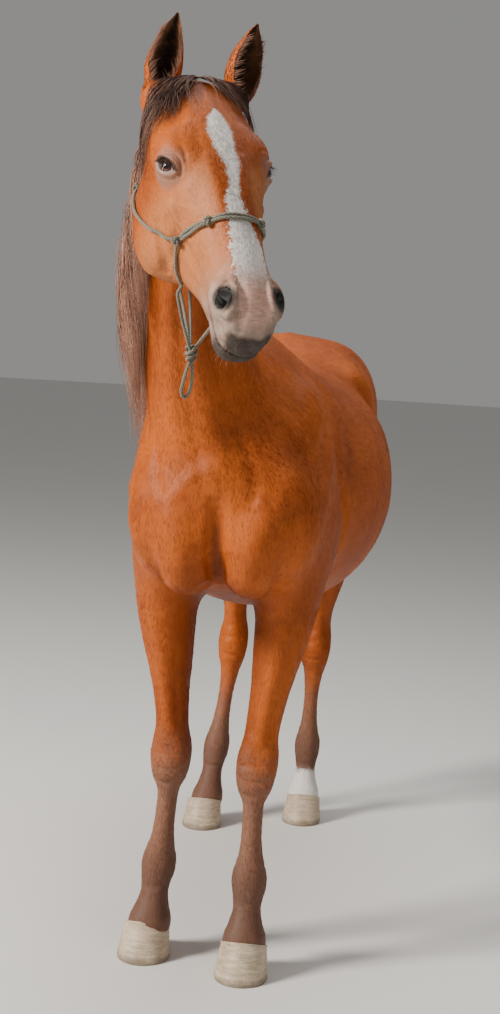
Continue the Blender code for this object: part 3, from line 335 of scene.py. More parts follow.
def trunk_group():
    solids = [
        Loft(TRUNK, 0.03),
        Lump((0.135, 1.10, -0.52), (0.085, 0.27, 0.17), (0, 0.90, 0.40), 0.06),      # shoulder
        Lump((0.165, 1.00, -0.44), (0.068, 0.13, 0.13), blend=0.06),                 # triceps
        Lump((0.130, 1.06, -0.70), (0.085, 0.13, 0.12), blend=0.05),                 # point of the shoulder
        Lump((0.074, 0.995, -0.750), (0.080, 0.115, 0.081), (0, 1, -0.15), 0.030),   # breast
        Lump((0.125, 1.28, 0.53), (0.128, 0.17, 0.28), (0, 1, -0.15), 0.06),         # croup
        Lump((0.130, 1.16, 0.70), (0.095, 0.20, 0.135), blend=0.06),                 # buttock
        Lump((0.190, 1.335, 0.355), (0.035, 0.035, 0.060), blend=0.09),              # point of the hip
        Lump((0.000, 1.34, 0.775), (0.045, 0.045, 0.085), (0, 1, -0.6), 0.07),       # root of the tail
        Lump((0.150, 1.00, 0.42), (0.085, 0.14, 0.12), (0, 1, 0.3), 0.07),           # fold of the flank
    ]
    ribs = [(20, (0, 1.6, 0), (300, 1240, y + 30), (330, 1080, y + 10), (290, 920, y - 20))
            for y in range(-160, -160 + RIBS * RIB_STEP, RIB_STEP)]
    return Group(trunk_local, trunk_world, solids, strokes(TRUNK_STROKES + ribs))


# ---------------------------------------------------------------- legs
# place up the leg, half width, front, back, level of its middle, squareness behind and in front
FORELEG = [
    (50, 50, -75, 35, -20, 2.0, 2.2),  # inside the hoof
    (90, 49, -71, 30, -20, 2.0, 2.2),
    (115, 40, -58, 26, -15, 2.0, 2.2),  # pastern
    (150, 32, -40, 36, -4, 2.0, 2.2),
    (185, 36, -32, 55, 6, 2.1, 2.2),
    (215, 38.5, -31, 58, 8, 2.1, 2.2),  # fetlock
    (250, 33, -28, 47, 6, 2.1, 2.2),
    (290, 26, -24, 41, 6, 2.2, 2.2),
    (350, 23.5, -22, 40, 7, 2.3, 2.2),  # cannon
    (395, 27, -26, 43, 7, 2.3, 2.2),
    (425, 39, -38, 48, 4, 2.3, 2.6),
    (460, 46, -45, 60, 3, 2.2, 2.8),  # knee
    (500, 47, -42, 52, 3, 2.2, 2.6),
    (540, 40, -40, 45, 2, 2.1, 2.3),
    (610, 41.5, -52, 56, 2, 2.0, 2.1),
    (690, 51, -70, 74, 2, 2.0, 2.0),  # forearm
    (770, 63, -88, 94, 3, 2.0, 2.0),
    (850, 71, -100, 115, 5, 2.0, 2.0),  # elbow
    (930, 70, -105, 130, 10, 2.0, 2.0),
    (1020, 58, -95, 120, 10, 2.0, 2.0),
]

HINDLEG = [
    (50, 46, -70, 35, -20, 2.0, 2.2),  # inside the hoof
    (90, 45, -66, 30, -20, 2.0, 2.2),
    (115, 36, -53, 26, -14, 2.0, 2.2),  # pastern
    (155, 29, -36, 36, -2, 2.0, 2.2),
    (195, 34, -31, 52, 6, 2.1, 2.2),
    (230, 35.5, -30, 55, 8, 2.1, 2.2),  # fetlock
    (265, 30, -27, 44, 6, 2.1, 2.2),
    (310, 24, -24, 38, 6, 2.2, 2.2),
    (400, 22.5, -24, 38, 6, 2.3, 2.2),  # cannon
    (455, 29, -33, 44, 6, 2.3, 2.2),
    (495, 38, -48, 52, 4, 2.3, 2.3),
    (535, 42, -60, 60, 0, 2.3, 2.3),  # hock
    (575, 39, -62, 74, 0, 2.2, 2.1),
    (610, 33.5, -60, 74, 0, 1.8, 2.0),  # point of the hock
    (650, 34.5, -68, 58, 0, 1.6, 2.0),
    (710, 46, -94, 48, -20, 1.8, 2.0),
    (780, 60.5, -135, 52, -40, 2.0, 2.0),  # gaskin
    (850, 75, -190, 70, -60, 2.0, 2.0),
    (920, 87.5, -250, 94, -80, 2.1, 2.0),  # stifle
    (1000, 98.5, -282, 118, -80, 2.2, 2.0),
    (1100, 103, -275, 138, -60, 2.2, 2.1),  # thigh
    (1200, 96.5, -240, 142, -50, 2.2, 2.1),
    (1300, 77.5, -190, 105, -40, 2.0, 2.0),
]

# each leg's own line from the floor up: height, sideways, back
LEG_LINES = {
    "front_leg_right": [(0.0, -0.142, -0.575), (0.21, -0.125, -0.590), (0.46, -0.112, -0.570),
                        (0.86, -0.146, -0.560), (1.1, -0.162, -0.560)],
    "front_leg_left": [(0.0, 0.100, -0.650), (0.21, 0.100, -0.655), (0.46, 0.098, -0.620),
                       (0.86, 0.143, -0.570), (1.1, 0.162, -0.560)],
    "hind_leg_right": [(0.0, -0.175, 0.555), (0.23, -0.155, 0.590), (0.54, -0.130, 0.665),
                       (0.90, -0.150, 0.690), (1.3, -0.143, 0.700)],
    "hind_leg_left": [(0.0, 0.112, 0.700), (0.23, 0.112, 0.700), (0.54, 0.122, 0.690),
                      (0.90, 0.150, 0.695), (1.3, 0.143, 0.700)],
}


def leg_axis(name, height):
    """Where the leg's own line is at that height: sideways and back."""
    z, x, y = np.transpose(LEG_LINES[name])
    return curve(z, x, height), curve(z, y, height)


# width, height, then points sideways (outwards), back and up: grooves beside the tendons, bones, sinews and
# muscles,
# first those on both sides of the leg, then the others and the veins
FORE_BOTH = [
    (12, -4.5, (26, 4, 270), (23.5, 10, 360), (24, 10, 410)),
    (18, -4, (40, 30, 580), (42, 45, 660), (50, 55, 760)),
    (16, 2.5, (-30, 12, 235), (-37, 12, 212), (-30, 14, 188)),
    (14, -3, (28, 22, 150), (30, 28, 175)),
]
FORE_STROKES = [
    (22, 2, (0, -44, 435), (0, -50, 455), (0, -45, 475)),
    (10, -3, (-35, -36, 452), (0, -50, 448), (35, -36, 452)),
    (10, -2.5, (-36, -34, 482), (0, -48, 486), (36, -34, 482)),
    (12, -3, (-30, -26, 418), (0, -34, 412), (30, -26, 418)),
    (18, -3.5, (44, -6, 500), (38, -10, 550), (36, -12, 600), (46, -10, 700)),
    (22, 4.5, (0, -45, 540), (4, -56, 620), (10, -80, 720), (20, -95, 800)),
    (14, -4.5, (-24, -42, 560), (-26, -55, 640), (-34, -75, 740)),
    (14, -4, (28, -40, 560), (30, -55, 640), (40, -70, 740), (48, -78, 820)),
    (18, 4.5, (0, 52, 440), (0, 60, 465), (0, 50, 490)),
    (12, -2.2, (-26, -22, 170), (0, -36, 166), (26, -22, 170)),
    (16, 4.5, (0, 58, 205), (0, 55, 185), (0, 46, 165)),
    (7, 2.4, (-46, -30, 500), (-43, -22, 570), (-44, -34, 650), (-56, -45, 740), (-60, -62, 840)),
    (6, 1.8, (-45, 4, 530), (-46, -8, 600), (-51, 6, 680), (-60, 0, 780)),
]
HIND_BOTH = [
    (12, -4.5, (24, 6, 290), (22.5, 10, 380), (24, 10, 450)),
    (18, -8, (28, 48, 580), (26, 40, 620), (32, 30, 680), (45, 20, 740)),
    (16, 2.5, (-28, 12, 250), (-34, 12, 228), (-28, 14, 200)),
]
HIND_STROKES = [
    (12, -3.5, (-30, -52, 555), (0, -64, 560), (30, -52, 555)),
    (12, -2.8, (-28, -52, 590), (0, -66, 596), (28, -52, 590)),
    (12, -2.8, (-26, -44, 505), (0, -56, 500), (26, -44, 505)),
    (18, 3.5, (40, -20, 575), (43, -22, 535), (36, -22, 490)),
    (18, 4.5, (-40, -20, 575), (-43, -22, 535), (-36, -22, 490)),
    (12, -2.2, (-24, -22, 175), (0, -34, 171), (24, -22, 175)),
    (16, 4.5, (0, 55, 220), (0, 52, 198), (0, 42, 175)),
    (28, -5, (52, -60, 740), (60, -100, 820), (75, -150, 900)),
    (7, 2.6, (-36, -45, 550), (-32, -48, 620), (-40, -60, 700), (-55, -90, 790)),
    (6, 1.8, (-24, -14, 420), (-34, -26, 480), (-40, -32, 530)),
]


def leg_group(name):
    outward = 1 if name.endswith("left") else -1
    if name.startswith("front"):
        sections, both, others = FORELEG, FORE_BOTH, FORE_STROKES
    else:
        sections, both, others = HINDLEG, HIND_BOTH, HIND_STROKES

    def to_local(points):
        side, back = leg_axis(name, points[:, 2])
        return np.stack([(points[:, 0] - side) * outward, points[:, 1] - back, points[:, 2]], axis=1)

    def to_world(points):
        side, back = leg_axis(name, points[:, 2])
        return np.stack([side + points[:, 0] * outward, points[:, 1] + back, points[:, 2]], axis=1)

    return Group(to_local, to_world, [Loft(sections, 0.05)], strokes(both, (1, -1)) + strokes(others))


# ---------------------------------------------------------------- neck
# place up the neck, half width, throat side, crest side, widest level, squareness towards the crest and the
# throat
NECK = [
    (-100, 170, -260, 180, -60, 2.0, 2.0),
    (0, 178, -295, 230, -60, 1.8, 2.0),
    (80, 165, -272, 258, -60, 1.7, 2.0),
    (170, 140, -232, 262, -40, 1.6, 2.0),
    (280, 118, -190, 236, -20, 1.6, 2.0),
    (400, 100, -155, 200, -10, 1.7, 2.0),
    (520, 90, -135, 165, -10, 1.8, 2.0),
    (640, 86, -128, 135, -10, 1.9, 2.0),
    (740, 85, -125, 112, -10, 2.0, 2.0),
    (820, 78, -110, 95, -10, 2.0, 2.0),
    (880, 55, -80, 60, -10, 2.0, 2.0),
]

# the neck bows to the horse's right as the head turns left: place up the neck, offset sideways
NECK_BOW = [(-0.2, 0.0), (0.0, -0.008), (0.15, -0.040), (0.30, -0.066), (0.45, -0.072), (0.60, -0.055),
            (0.75, -0.02), (0.90, 0.0)]


def neck_frame():
    along = unit(np.subtract(NECK_TOP, NECK_ROOT))
    return Frame(NECK_ROOT, np.array((1, 0, 0)) - along[0] * along, np.cross(along, (1, 0, 0)), along)


def neck_local(points):
    """Across, towards the crest and up the neck, with its bow taken out."""
    q = NECK_FRAME.local(points)
    q[:, 0] -= curve(*np.transpose(NECK_BOW), q[:, 2])
    return q


def neck_world(points):
    return NECK_FRAME.world(points + curve(*np.transpose(NECK_BOW), points[:, 2])[:, None] * (1, 0, 0))


# jugular groove, the ridge of muscle in front of it, the muscle of the lower neck, two folds at the throat
NECK_STROKES = [
    (20, -6, (60, -105, 660), (72, -125, 500), (84, -150, 340), (100, -195, 170), (90, -255, 20)),
    (30, 4, (26, -130, 620), (34, -145, 460), (42, -175, 300), (46, -225, 140)),
    (40, 3, (90, -30, 600), (104, -40, 420), (130, -50, 240), (160, -80, 100)),
    (50, -4, (70, 70, 620), (85, 100, 440), (105, 130, 260)),
    (12, -4, (20, -128, 700), (70, -90, 710), (88, -30, 720)),
]
WINDPIPE = [(18, -4, (0, -140, 600), (0, -155, 420), (0, -190, 260), (0, -250, 100))]


def neck_group():
    marks = strokes(NECK_STROKES, (-1, 1)) + strokes(WINDPIPE)
    return Group(neck_local, neck_world, [Loft(NECK, 0.07)], marks)


# ---------------------------------------------------------------- head
# place down the face from the poll, half width, depth, top of the nose, widest level, squareness above and
# below
SKULL = [
    (-35, 50, -120, -40, -80, 2.0, 2.0),
    (0, 76, -145, -4, -65, 2.0, 2.0),  # poll
    (60, 97, -175, 18, -60, 2.2, 2.0),
    (120, 107, -180, 30, -55, 2.3, 2.0),
    (170, 111, -180, 35, -50, 2.3, 2.0),  # brow
    (220, 105, -175, 36, -50, 2.2, 2.0),
    (280, 89, -160, 34, -50, 2.1, 2.0),
    (340, 73, -145, 29, -50, 2.0, 2.2),
    (400, 62, -130, 23, -50, 2.0, 2.4),  # nose
    (460, 57, -120, 16, -50, 2.1, 2.4),
    (520, 56, -115, 5, -50, 2.3, 2.4),
    (565, 53, -112, -10, -55, 2.4, 2.4),
    (592, 45, -104, -26, -62, 2.3, 2.2),  # upper lip
    (610, 27, -90, -48, -68, 2.0, 2.0),
]

JAW = [
    (55, 52, -225, -100, -170, 2.0, 2.0),
    (110, 78, -265, -80, -170, 2.2, 2.0),
    (170, 101, -292, -60, -170, 2.4, 2.2),  # cheek
    (230, 106, -304, -50, -170, 2.6, 2.6),
    (285, 97, -290, -50, -165, 2.4, 2.4),
    (340, 69, -240, -60, -145, 2.2, 2.2),
    (410, 52, -190, -70, -130, 2.0, 2.2),
    (480, 44, -163, -80, -125, 2.0, 2.0),
    (530, 42, -157, -90, -130, 2.0, 2.0),
    (565, 42, -162, -90, -130, 2.0, 2.2),  # chin
    (590, 35, -152, -100, -128, 2.0, 2.0),
    (604, 20, -138, -112, -125, 2.0, 2.0),
]


def head_frame():
    """Across, up (out of the forehead) and along (down the face), after the head's turn, nod and tilt."""
    turned = (HEAD_TURN, "Z"), (-HEAD_NOD, "X"), (HEAD_TILT, "Y")
    turn, nod, tilt = (Matrix.Rotation(angle, 3, axis) for angle, axis in turned)
    axes = np.array(turn @ nod @ tilt) @ np.array(((1, 0, 0), (0, -1, 0), (0, 0, -1))).T
    return Frame(POLL, *axes.T)


HEAD = head_frame()
NECK_FRAME = neck_frame()


def head_local(points):
    return HEAD.local(points) / HEAD_SIZE


def on_head(points):
    """Points given in the head's own frame and sizes, in the horse's."""
    return HEAD.world(np.asarray(points, float) * HEAD_SIZE)


def folded_head(points):
    """The head's own frame, with the two sides folded onto one."""
    q = head_local(points)
    q[:, 0] = np.abs(q[:, 0])
    return q


def eye_axes():
    """The left eye's gaze, its length along the face, and its height, in the head's own frame."""
    gaze = unit(EYE_GAZE)
    along = np.array((0.0, 0.62, 0.78))
    along = unit(along - along @ gaze * gaze)
    return gaze, along, np.cross(along, gaze)


# half the length of the eye's opening, and its height above and below that line
LID_LENGTH, LID_UP, LID_DOWN = 0.0238, 0.0135, 0.0118


def eye_arc(start, end, stretch, out, count=9):
    """Points round the eye from one angle to another (0 is the front corner, 90 the upper lid), on an oval of
    the opening's sizes times the stretch, that far out from the eye's centre along its gaze."""
    gaze, along, up = eye_axes()
    angle = np.radians(np.linspace(start, end, count))
    a = np.cos(angle) * LID_LENGTH * stretch[0]
    b = np.sin(angle) * np.where(np.sin(angle) > 0, LID_UP * stretch[1], LID_DOWN * stretch[2])
    far = out - 0.35 * (a * a + b * b) / EYE_RADIUS
    return np.array(EYE) + a[:, None] * along + b[:, None] * up + far[:, None] * gaze


def head_solids():
    return [
        Loft(SKULL, 0.035),
        Loft(JAW, 0.03),
        Lump((0.086, -0.014, 0.198), (0.024, 0.030, 0.048), blend=0.03),              # brow
        Lump(EYE, (0.0225, 0.0225, 0.0235), blend=0.020),                             # lids
        Lump((0.076, -0.160, 0.225), (0.027, 0.11, 0.095), blend=0.04),               # cheek
        Lump((0.074, -0.050, 0.010), (0.030, 0.036, 0.032), blend=0.03),              # root of the ear
        Lump((0.045, -0.040, 0.532), (0.024, 0.032, 0.042), (0, 1, -0.4), 0.02),      # nostril's rim
        Lump((0.0, -0.075, 0.575), (0.044, 0.042, 0.040), blend=0.02),                # upper lip
    ]


# width, height, then points across, up and down the face
FACE_BONES = [
    (16, (6.5, 6, 2), (88, -62, 285), (80, -70, 330), (71, -74, 385)),
    (22, -3.5, (85, -88, 300), (76, -94, 360), (67, -94, 420)),
    (33, -8, (70, 5, 105), (72, 0, 125)),    # hollow above the eye
    (16, 3.5, (98, -30, 110), (104, -42, 150), (104, -50, 190)),
    (20, 2.8, (60, 22, 150), (64, 20, 190), (62, 20, 230)),
    (18, 2.2, (34, 24, 240), (32, 22, 330), (30, 12, 430), (28, 0, 500)),
    (20, -2.6, (58, -5, 300), (50, -10, 380), (48, -12, 460)),
    (16, -1, (0, 36, 240), (0, 30, 340), (0, 19, 440)),
    (20, 1.5, (0, 12, 60), (0, 28, 110), (0, 34, 150)),
    # the cheek's edges and muscle
    (16, 2.8, (70, -285, 215), (79, -270, 285), (72, -225, 335)),
    (20, -5, (100, -115, 285), (92, -155, 325), (78, -205, 345)),
    (20, -3, (88, -235, 110), (100, -180, 115), (104, -120, 118)),
    (30, 1.5, (107, -120, 170), (108, -165, 200), (103, -215, 240)),
]
FACE_VEINS = [
    (5.5, (1.2, 2.4, 2.6, 2.6, 2), (79, -70, 300), (72, -95, 345), (71, -130, 352), (73, -175, 345),
     (66, -225, 340)),
    (4.8, (2, 1.6, 0.8), (72, -95, 345), (66, -62, 375), (59, -40, 420)),
    (4.8, (0.8, 1.6, 0.8), (72, -50, 290), (64, -30, 320), (56, -12, 350)),
    (4.8, (1.6, 1.4, 0.6), (71, -130, 352), (61, -115, 405), (56, -105, 450)),
    (5, (0.6, 1.4, 0.8), (106, -90, 200), (109, -120, 235), (104, -160, 265)),
]
MUZZLE = [
    # rim of the nostril: the outer wing, its inner wing and the roll under them
    (10, (2, 4, 5, 6, 5, 3), (40, 2, 506), (55, -4, 508), (66, -16, 520), (71, -30, 542), (66, -36, 564),
     (54, -34, 578)),
    (9, (2, 4, 5, 5, 3), (40, 2, 508), (34, 0, 528), (36, -8, 552), (42, -20, 570), (52, -32, 578)),
    (14, -2.5, (22, -2, 525), (20, -16, 560), (24, -46, 590)),
    (14, -3, (66, -68, 500), (62, -80, 535), (54, -86, 565)),
    # the lips and the line between them
    (13, (1, 3, 4, 4), (56, -104, 515), (50, -104, 560), (30, -100, 596), (0, -96, 610)),
    (12, (1, 3, 4, 4), (53, -126, 530), (44, -124, 570), (26, -122, 595), (0, -120, 604)),
    (6, (-2, -7, -9, -9, -9), (56, -112, 510), (56, -115, 535), (47, -113, 575), (28, -110, 605),
     (0, -107, 618)),
    (6, -2.2, (58, -98, 502), (57, -114, 500), (52, -132, 508)),
    (14, -4, (52, -140, 500), (44, -150, 520), (20, -158, 540), (0, -160, 545)),
    (10, -2, (0, -20, 600), (0, -50, 618), (0, -85, 622)),
    (20, 3, (30, -128, 600), (0, -134, 608)),
]
# how an arc round the eye runs, then the width and height of the stroke along it, in metres
LIDS = [
    ((-10, 190, (1.12, 1.22, 1.2), 0.0225), 0.0055, 0.0022),    # edge of the upper lid
    ((190, 350, (1.08, 1.2, 1.28), 0.0215), 0.0050, 0.0016),    # and of the lower one
    ((15, 172, (1.30, 1.80, 1.2), 0.020), 0.0042, -0.0026),    # fold over the upper lid
    ((35, 150, (1.55, 2.50, 1.2), 0.019), 0.0070, -0.0012),
    ((205, 330, (1.30, 1.2, 1.90), 0.019), 0.0055, -0.0009),    # under the eye
    ((-6, 6, (1.35, 1.0, 1.0), 0.018, 3), 0.0060, -0.0030),    # inner corner
]


def head_strokes():
    """The lids, then bones, muscles, veins, nostrils, lips and the fine wrinkles beside them."""
    lids = [Stroke(eye_arc(*arc), width, height) for arc, width, height in LIDS]
    wrinkles = []
    for k in range(4):
        mouth, nose = 482 - 10 * k, 492 - 9 * k
        wrinkles += [(4.5, (0, -1.1, 0), (56, -85, mouth), (56, -110, mouth + 4), (50, -135, mouth + 12)),
                     (4.5, (0, -1.2, 0), (52, -4, nose), (62, -24, nose + 8), (64, -48, nose + 20))]
    return lids + strokes(FACE_BONES + FACE_VEINS + MUZZLE + wrinkles)


def head_hollows():
    """The openings of the eye and the nostril."""
    gaze, along, up = eye_axes()
    middle = (LID_UP - LID_DOWN) / 2
    eye = np.array(EYE) + gaze * 0.0300 + up * middle
    nostril, long_way = unit((0.69, 0.66, 0.15)), np.array((0.50, -0.42, 0.75))
    long_way = unit(long_way - long_way @ nostril * nostril)
    nostril_axes = (nostril, long_way, np.cross(nostril, long_way))
    return [
        Lump(eye, (0.0215, LID_LENGTH, (LID_UP + LID_DOWN) / 2), blend=0.0014, axes=(gaze, along, up)),
        Lump((0.060, -0.014, 0.546), (0.026, 0.0225, 0.0118), blend=0.006, axes=nostril_axes),
    ]


GROUPS = [
    trunk_group(),
    *(leg_group(name) for name in LEG_LINES),
    neck_group(),
    Group(folded_head, on_head, head_solids(), head_strokes(), head_hollows(), HEAD_SIZE),
]


FAR = 0.5                         # the field where no solid is near


def body(points, detail=True):
    """How far each point lies outside the skin, below zero inside it."""
    field = np.full(len(points), FAR)
    for group in GROUPS:
        group.add_to(field, points)
    if detail:
        for group in GROUPS:
            group.shape(field, points)
    return field


def slope(points, step=0.0006, detail=True):
    """The direction in which the form falls away at each point, scaled by how fast."""
    parts = [body(points + offset, detail) - body(points - offset, detail) for offset in np.eye(3) * step]
    return np.stack(parts, axis=1) / (2 * step)


def settle(points, level=0.0, rounds=2, reach=0.02, detail=True):
    """The points moved straight out or in to that height over the skin."""
    points = np.asarray(points, float)
    for _ in range(rounds):
        out = slope(points, detail=detail)
        square = np.maximum((out ** 2).sum(axis=1), 0.2)
        move = out * ((body(points, detail) - level) / square)[:, None]
        size = np.linalg.norm(move, axis=1)[:, None]
        points = points - move * np.minimum(1, reach / np.maximum(size, 1e-9))
    return points


def normals(points):
    """The way straight out of the skin."""
    return unit(slope(points))


LONGEST_MOVE = 0.055              # a stroke's point that is further from the flesh stays put


def lay_strokes():
    """Moves the line of each stroke onto the flesh that it shapes, in steps of most of its width."""
    pairs = [(group, stroke) for group in GROUPS for stroke in group.strokes]
    lines = []
    for group, stroke in pairs:
        walked = walk(stroke.line)
        steps = max(len(walked) - 1, round(walked[-1] / max(0.8 * stroke.width, 0.009)))
        at = np.linspace(0, walked[-1], steps + 1)
        stroke.height = np.interp(at, walked, stroke.height)
        lines.append(group.to_world(through(walked, stroke.line, at)))
    start = np.concatenate(lines)
    laid = settle(start, 0.0, 5, detail=False)
    laid = np.where((np.linalg.norm(laid - start, axis=1) < LONGEST_MOVE)[:, None], laid, start)
    ends = np.cumsum([len(line) for line in lines])[:-1]
    for (group, stroke), line in zip(pairs, np.split(laid, ends)):
        stroke.line = group.to_local(line)
    for group in GROUPS:
        group.low = np.min([stroke.line.min(0) - stroke.width for stroke in group.strokes], axis=0)
        group.high = np.max([stroke.line.max(0) + stroke.width for stroke in group.strokes], axis=0)


lay_strokes()


# ---------------------------------------------------------------- the skin's mesh
def surface_net(field, low, high, cell, coarse=4):
    """Points and quads of the surface where the field is zero: one point in each cell that the surface
    crosses, and one quad for each grid edge that it cuts. Only the coarse cells that can hold surface are
    looked at finely."""
    low = np.asarray(low, float)
    big = cell * coarse
    count = np.ceil((np.asarray(high, float) - low) / big).astype(int)
    centres = np.stack(np.meshgrid(*(np.arange(n) for n in count), indexing="ij"), axis=-1).reshape(-1, 3)
    kept = centres[np.abs(field(low + (centres + 0.5) * big)) < big * 1.15 + 0.01]
    size = count * coarse + 1
    step = np.stack(np.meshgrid(*[np.arange(coarse + 1)] * 3, indexing="ij"), axis=-1).reshape(-1, 3)
    index = np.unique((kept[:, None] * coarse + step).reshape(-1, 3) @ [size[1] * size[2], size[2], 1])
    where = np.stack(np.unravel_index(index, size), axis=1)
    values = np.full(size, np.nan)
    values.ravel()[index] = field(low + where * cell)
    inside, known, n = values < 0, np.isfinite(values), size - 1
    corners = np.stack(np.meshgrid([0, 1], [0, 1], [0, 1], indexing="ij"), axis=-1).reshape(-1, 3)

    def part(grid, c):
        return grid[c[0]:c[0] + n[0], c[1]:c[1] + n[1], c[2]:c[2] + n[2]]

    total = sum(part(inside, c).astype(np.int8) for c in corners)
    whole = np.all([part(known, c) for c in corners], axis=0)
    cells = np.argwhere((total > 0) & (total < 8) & whole)
    sums, hits = np.zeros((len(cells), 3)), np.zeros(len(cells))
    for axis, along in enumerate(np.eye(3, dtype=int)):
        for corner in corners[corners[:, axis] == 0]:
            first, second = (values[tuple((cells + c).T)] for c in (corner, corner + along))
            cut = (first < 0) != (second < 0)
            share = np.where(cut, first / np.where(cut, first - second, 1), 0)
            sums += np.where(cut[:, None], corner + share[:, None] * along, 0)
            hits += cut
    number = np.full(tuple(n), -1)
    number[tuple(cells.T)] = np.arange(len(cells))
    quads = []
    for axis in range(3):
        u, v = np.roll(np.eye(3, dtype=int), -axis - 1, axis=0)[:2]
        first, second = (np.take(inside, range(k, size[axis] - 1 + k), axis) for k in (0, 1))
        both = np.logical_and(*(np.take(known, range(k, size[axis] - 1 + k), axis) for k in (0, 1)))
        edges = np.argwhere((first != second) & both)
        ring = np.stack([edges, edges - u, edges - u - v, edges - v], axis=1)
        whole = ((ring >= 0) & (ring < n)).all(axis=(1, 2))
        edges, ring = edges[whole], ring[whole]
        quad = number[tuple(np.moveaxis(ring, -1, 0))]
        quad = np.where(first[tuple(edges.T)][:, None], quad, quad[:, ::-1])
        quads.append(quad[(quad >= 0).all(axis=1)])
    return low + (cells + sums / hits[:, None]) * cell, np.concatenate(quads)


def split(points, faces, chosen):
    """Cuts each chosen quad into four, at its middle and the middles of its edges. A neighbour that isn't
    chosen takes those points into its own outline. Faces are rows of point numbers, filled up with -1."""
    quads = faces[chosen][:, :4]
    ends = np.stack([quads, np.roll(quads, -1, axis=1)], axis=-1)
    ends.sort(axis=-1)
    total = len(points)
    keys, back = np.unique(ends[..., 0] * total + ends[..., 1], return_inverse=True)
    back = back.reshape(quads.shape)
    middles = (points[keys // total] + points[keys % total]) / 2
    centres = points[quads].mean(axis=1)
    edge = total + back
    centre = total + len(keys) + np.arange(len(quads))
    fours = [np.stack([quads[:, k], edge[:, k], centre, edge[:, k - 1]], axis=1) for k in range(4)]
    kept = faces[~chosen]
    sizes = (kept >= 0).sum(axis=1)
    after = np.where(np.arange(kept.shape[1]) + 1 < sizes[:, None], np.roll(kept, -1, axis=1), kept[:, :1])
    low, high = np.minimum(kept, after), np.maximum(kept, after)
    key = low * total + high
    spot = np.clip(np.searchsorted(keys, key), 0, len(keys) - 1)
    hit = (keys[spot] == key) & (kept >= 0)
    pairs = np.stack([kept, np.where(hit, total + spot, -1)], axis=-1).reshape(len(kept), -1)
    order = np.argsort(pairs < 0, axis=1, kind="stable")
    pairs = np.take_along_axis(pairs, order, axis=1)
    width = max(4, int((pairs >= 0).sum(axis=1).max()))
    new = np.full((4 * len(quads), width), -1)
    new[:, :4] = np.concatenate(fours)
    return np.concatenate([points, middles, centres]), np.concatenate([new, pairs[:, :width]])


def mesh_object(name, points, faces, material, smooth=True):
    """An object whose faces are rows of point numbers, filled up with -1. Its place is in its mesh."""
    faces = np.asarray(faces)
    used = faces >= 0
    sizes = used.sum(axis=1)
    mesh = bpy.data.meshes.new(name)
    mesh.vertices.add(len(points))
    mesh.vertices.foreach_set("co", (np.asarray(points) + SHIFT).astype(np.float32).ravel())
    mesh.loops.add(int(sizes.sum()))
    mesh.loops.foreach_set("vertex_index", faces[used].astype(np.int32))
    mesh.polygons.add(len(faces))
    mesh.polygons.foreach_set("loop_start", (np.cumsum(sizes) - sizes).astype(np.int32))
    mesh.update(calc_edges=True)
    mesh.validate()
    if smooth:
        mesh.shade_smooth()
    mesh.materials.append(material)
    thing = bpy.data.objects.new(name, mesh)
    bpy.context.scene.collection.objects.link(thing)
    return thing


def point_values(thing, name, values):
    """A number for each point of a piece, for its material."""
    layer = thing.data.attributes.new(name, "FLOAT", "POINT")
    layer.data.foreach_set("value", values.astype(np.float32))


def uv_map(thing, name, uv, faces):
    """A UV map from a place for each point."""
    layer = thing.data.uv_layers.new(name=name)
    layer.data.foreach_set("uv", uv[faces[faces >= 0]].astype(np.float32).ravel())


def finish_piece(thing, slot, *nodes):
    """The piece rides on the horse's one body and stands for those CAD nodes. The slot is not used."""
    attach(thing, ROOT)
    if nodes:
        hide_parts(*nodes)
    return thing


def find_shift():
    """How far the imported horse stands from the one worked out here, read off its left front hoof."""
    low, high = (np.array(corner, float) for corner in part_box("front_hoof_left"))
    _, x, y = LEG_LINES["front_leg_left"][0]
    return np.array(((low[0] + high[0]) / 2 - x, high[1] - (y + HOOF_TOP[2]), low[2]))


SHIFT = find_shift()


# ---------------------------------------------------------------- ears, as part of the skin
EAR_ROOTS = {"right": (-0.071, -0.052, 0.008), "left": (0.100, -0.052, 0.016)}
EAR_TIPS = {"right": (-0.035, 0.050, -0.132), "left": (0.118, 0.100, -0.062)}
EAR_FACING = {"right": (-0.33, 0.74, 0.50), "left": (0.15, 0.80, 0.55)}
EAR_WALL = 0.0036
EAR_ROWS, EAR_COLUMNS = 34, 30
EAR_SUNK = 0.018                  # how far down its own line the ear's foot lies on the skull
# how far out from the foot, and how high over the skull, the outer wall's lowest rows lie
EAR_FLARE = [(0.020, -0.0022), (0.014, -0.0006), (0.009, 0.0006), (0.0045, 0.0028)]
# share of the ear's length, radius of the cup, half the angle that its wall goes round
EAR = [(0.0, 0.021, 154), (0.15, 0.0295, 139), (0.35, 0.0375, 118), (0.55, 0.0345, 102), (0.75, 0.0255, 88),
       (0.90, 0.0135, 74), (1.0, 0.003, 60)]


def ear_frame(word):
    """The ear's root and its directions: towards its tip, out of its opening, and across."""
    root, tip = on_head([EAR_ROOTS[word], EAR_TIPS[word]])
    axis = tip - root
    along = unit(axis)
    facing = HEAD.axes @ np.array(EAR_FACING[word])
    facing = unit(facing - facing @ along * along)
    return root, axis, facing, np.cross(along, facing)


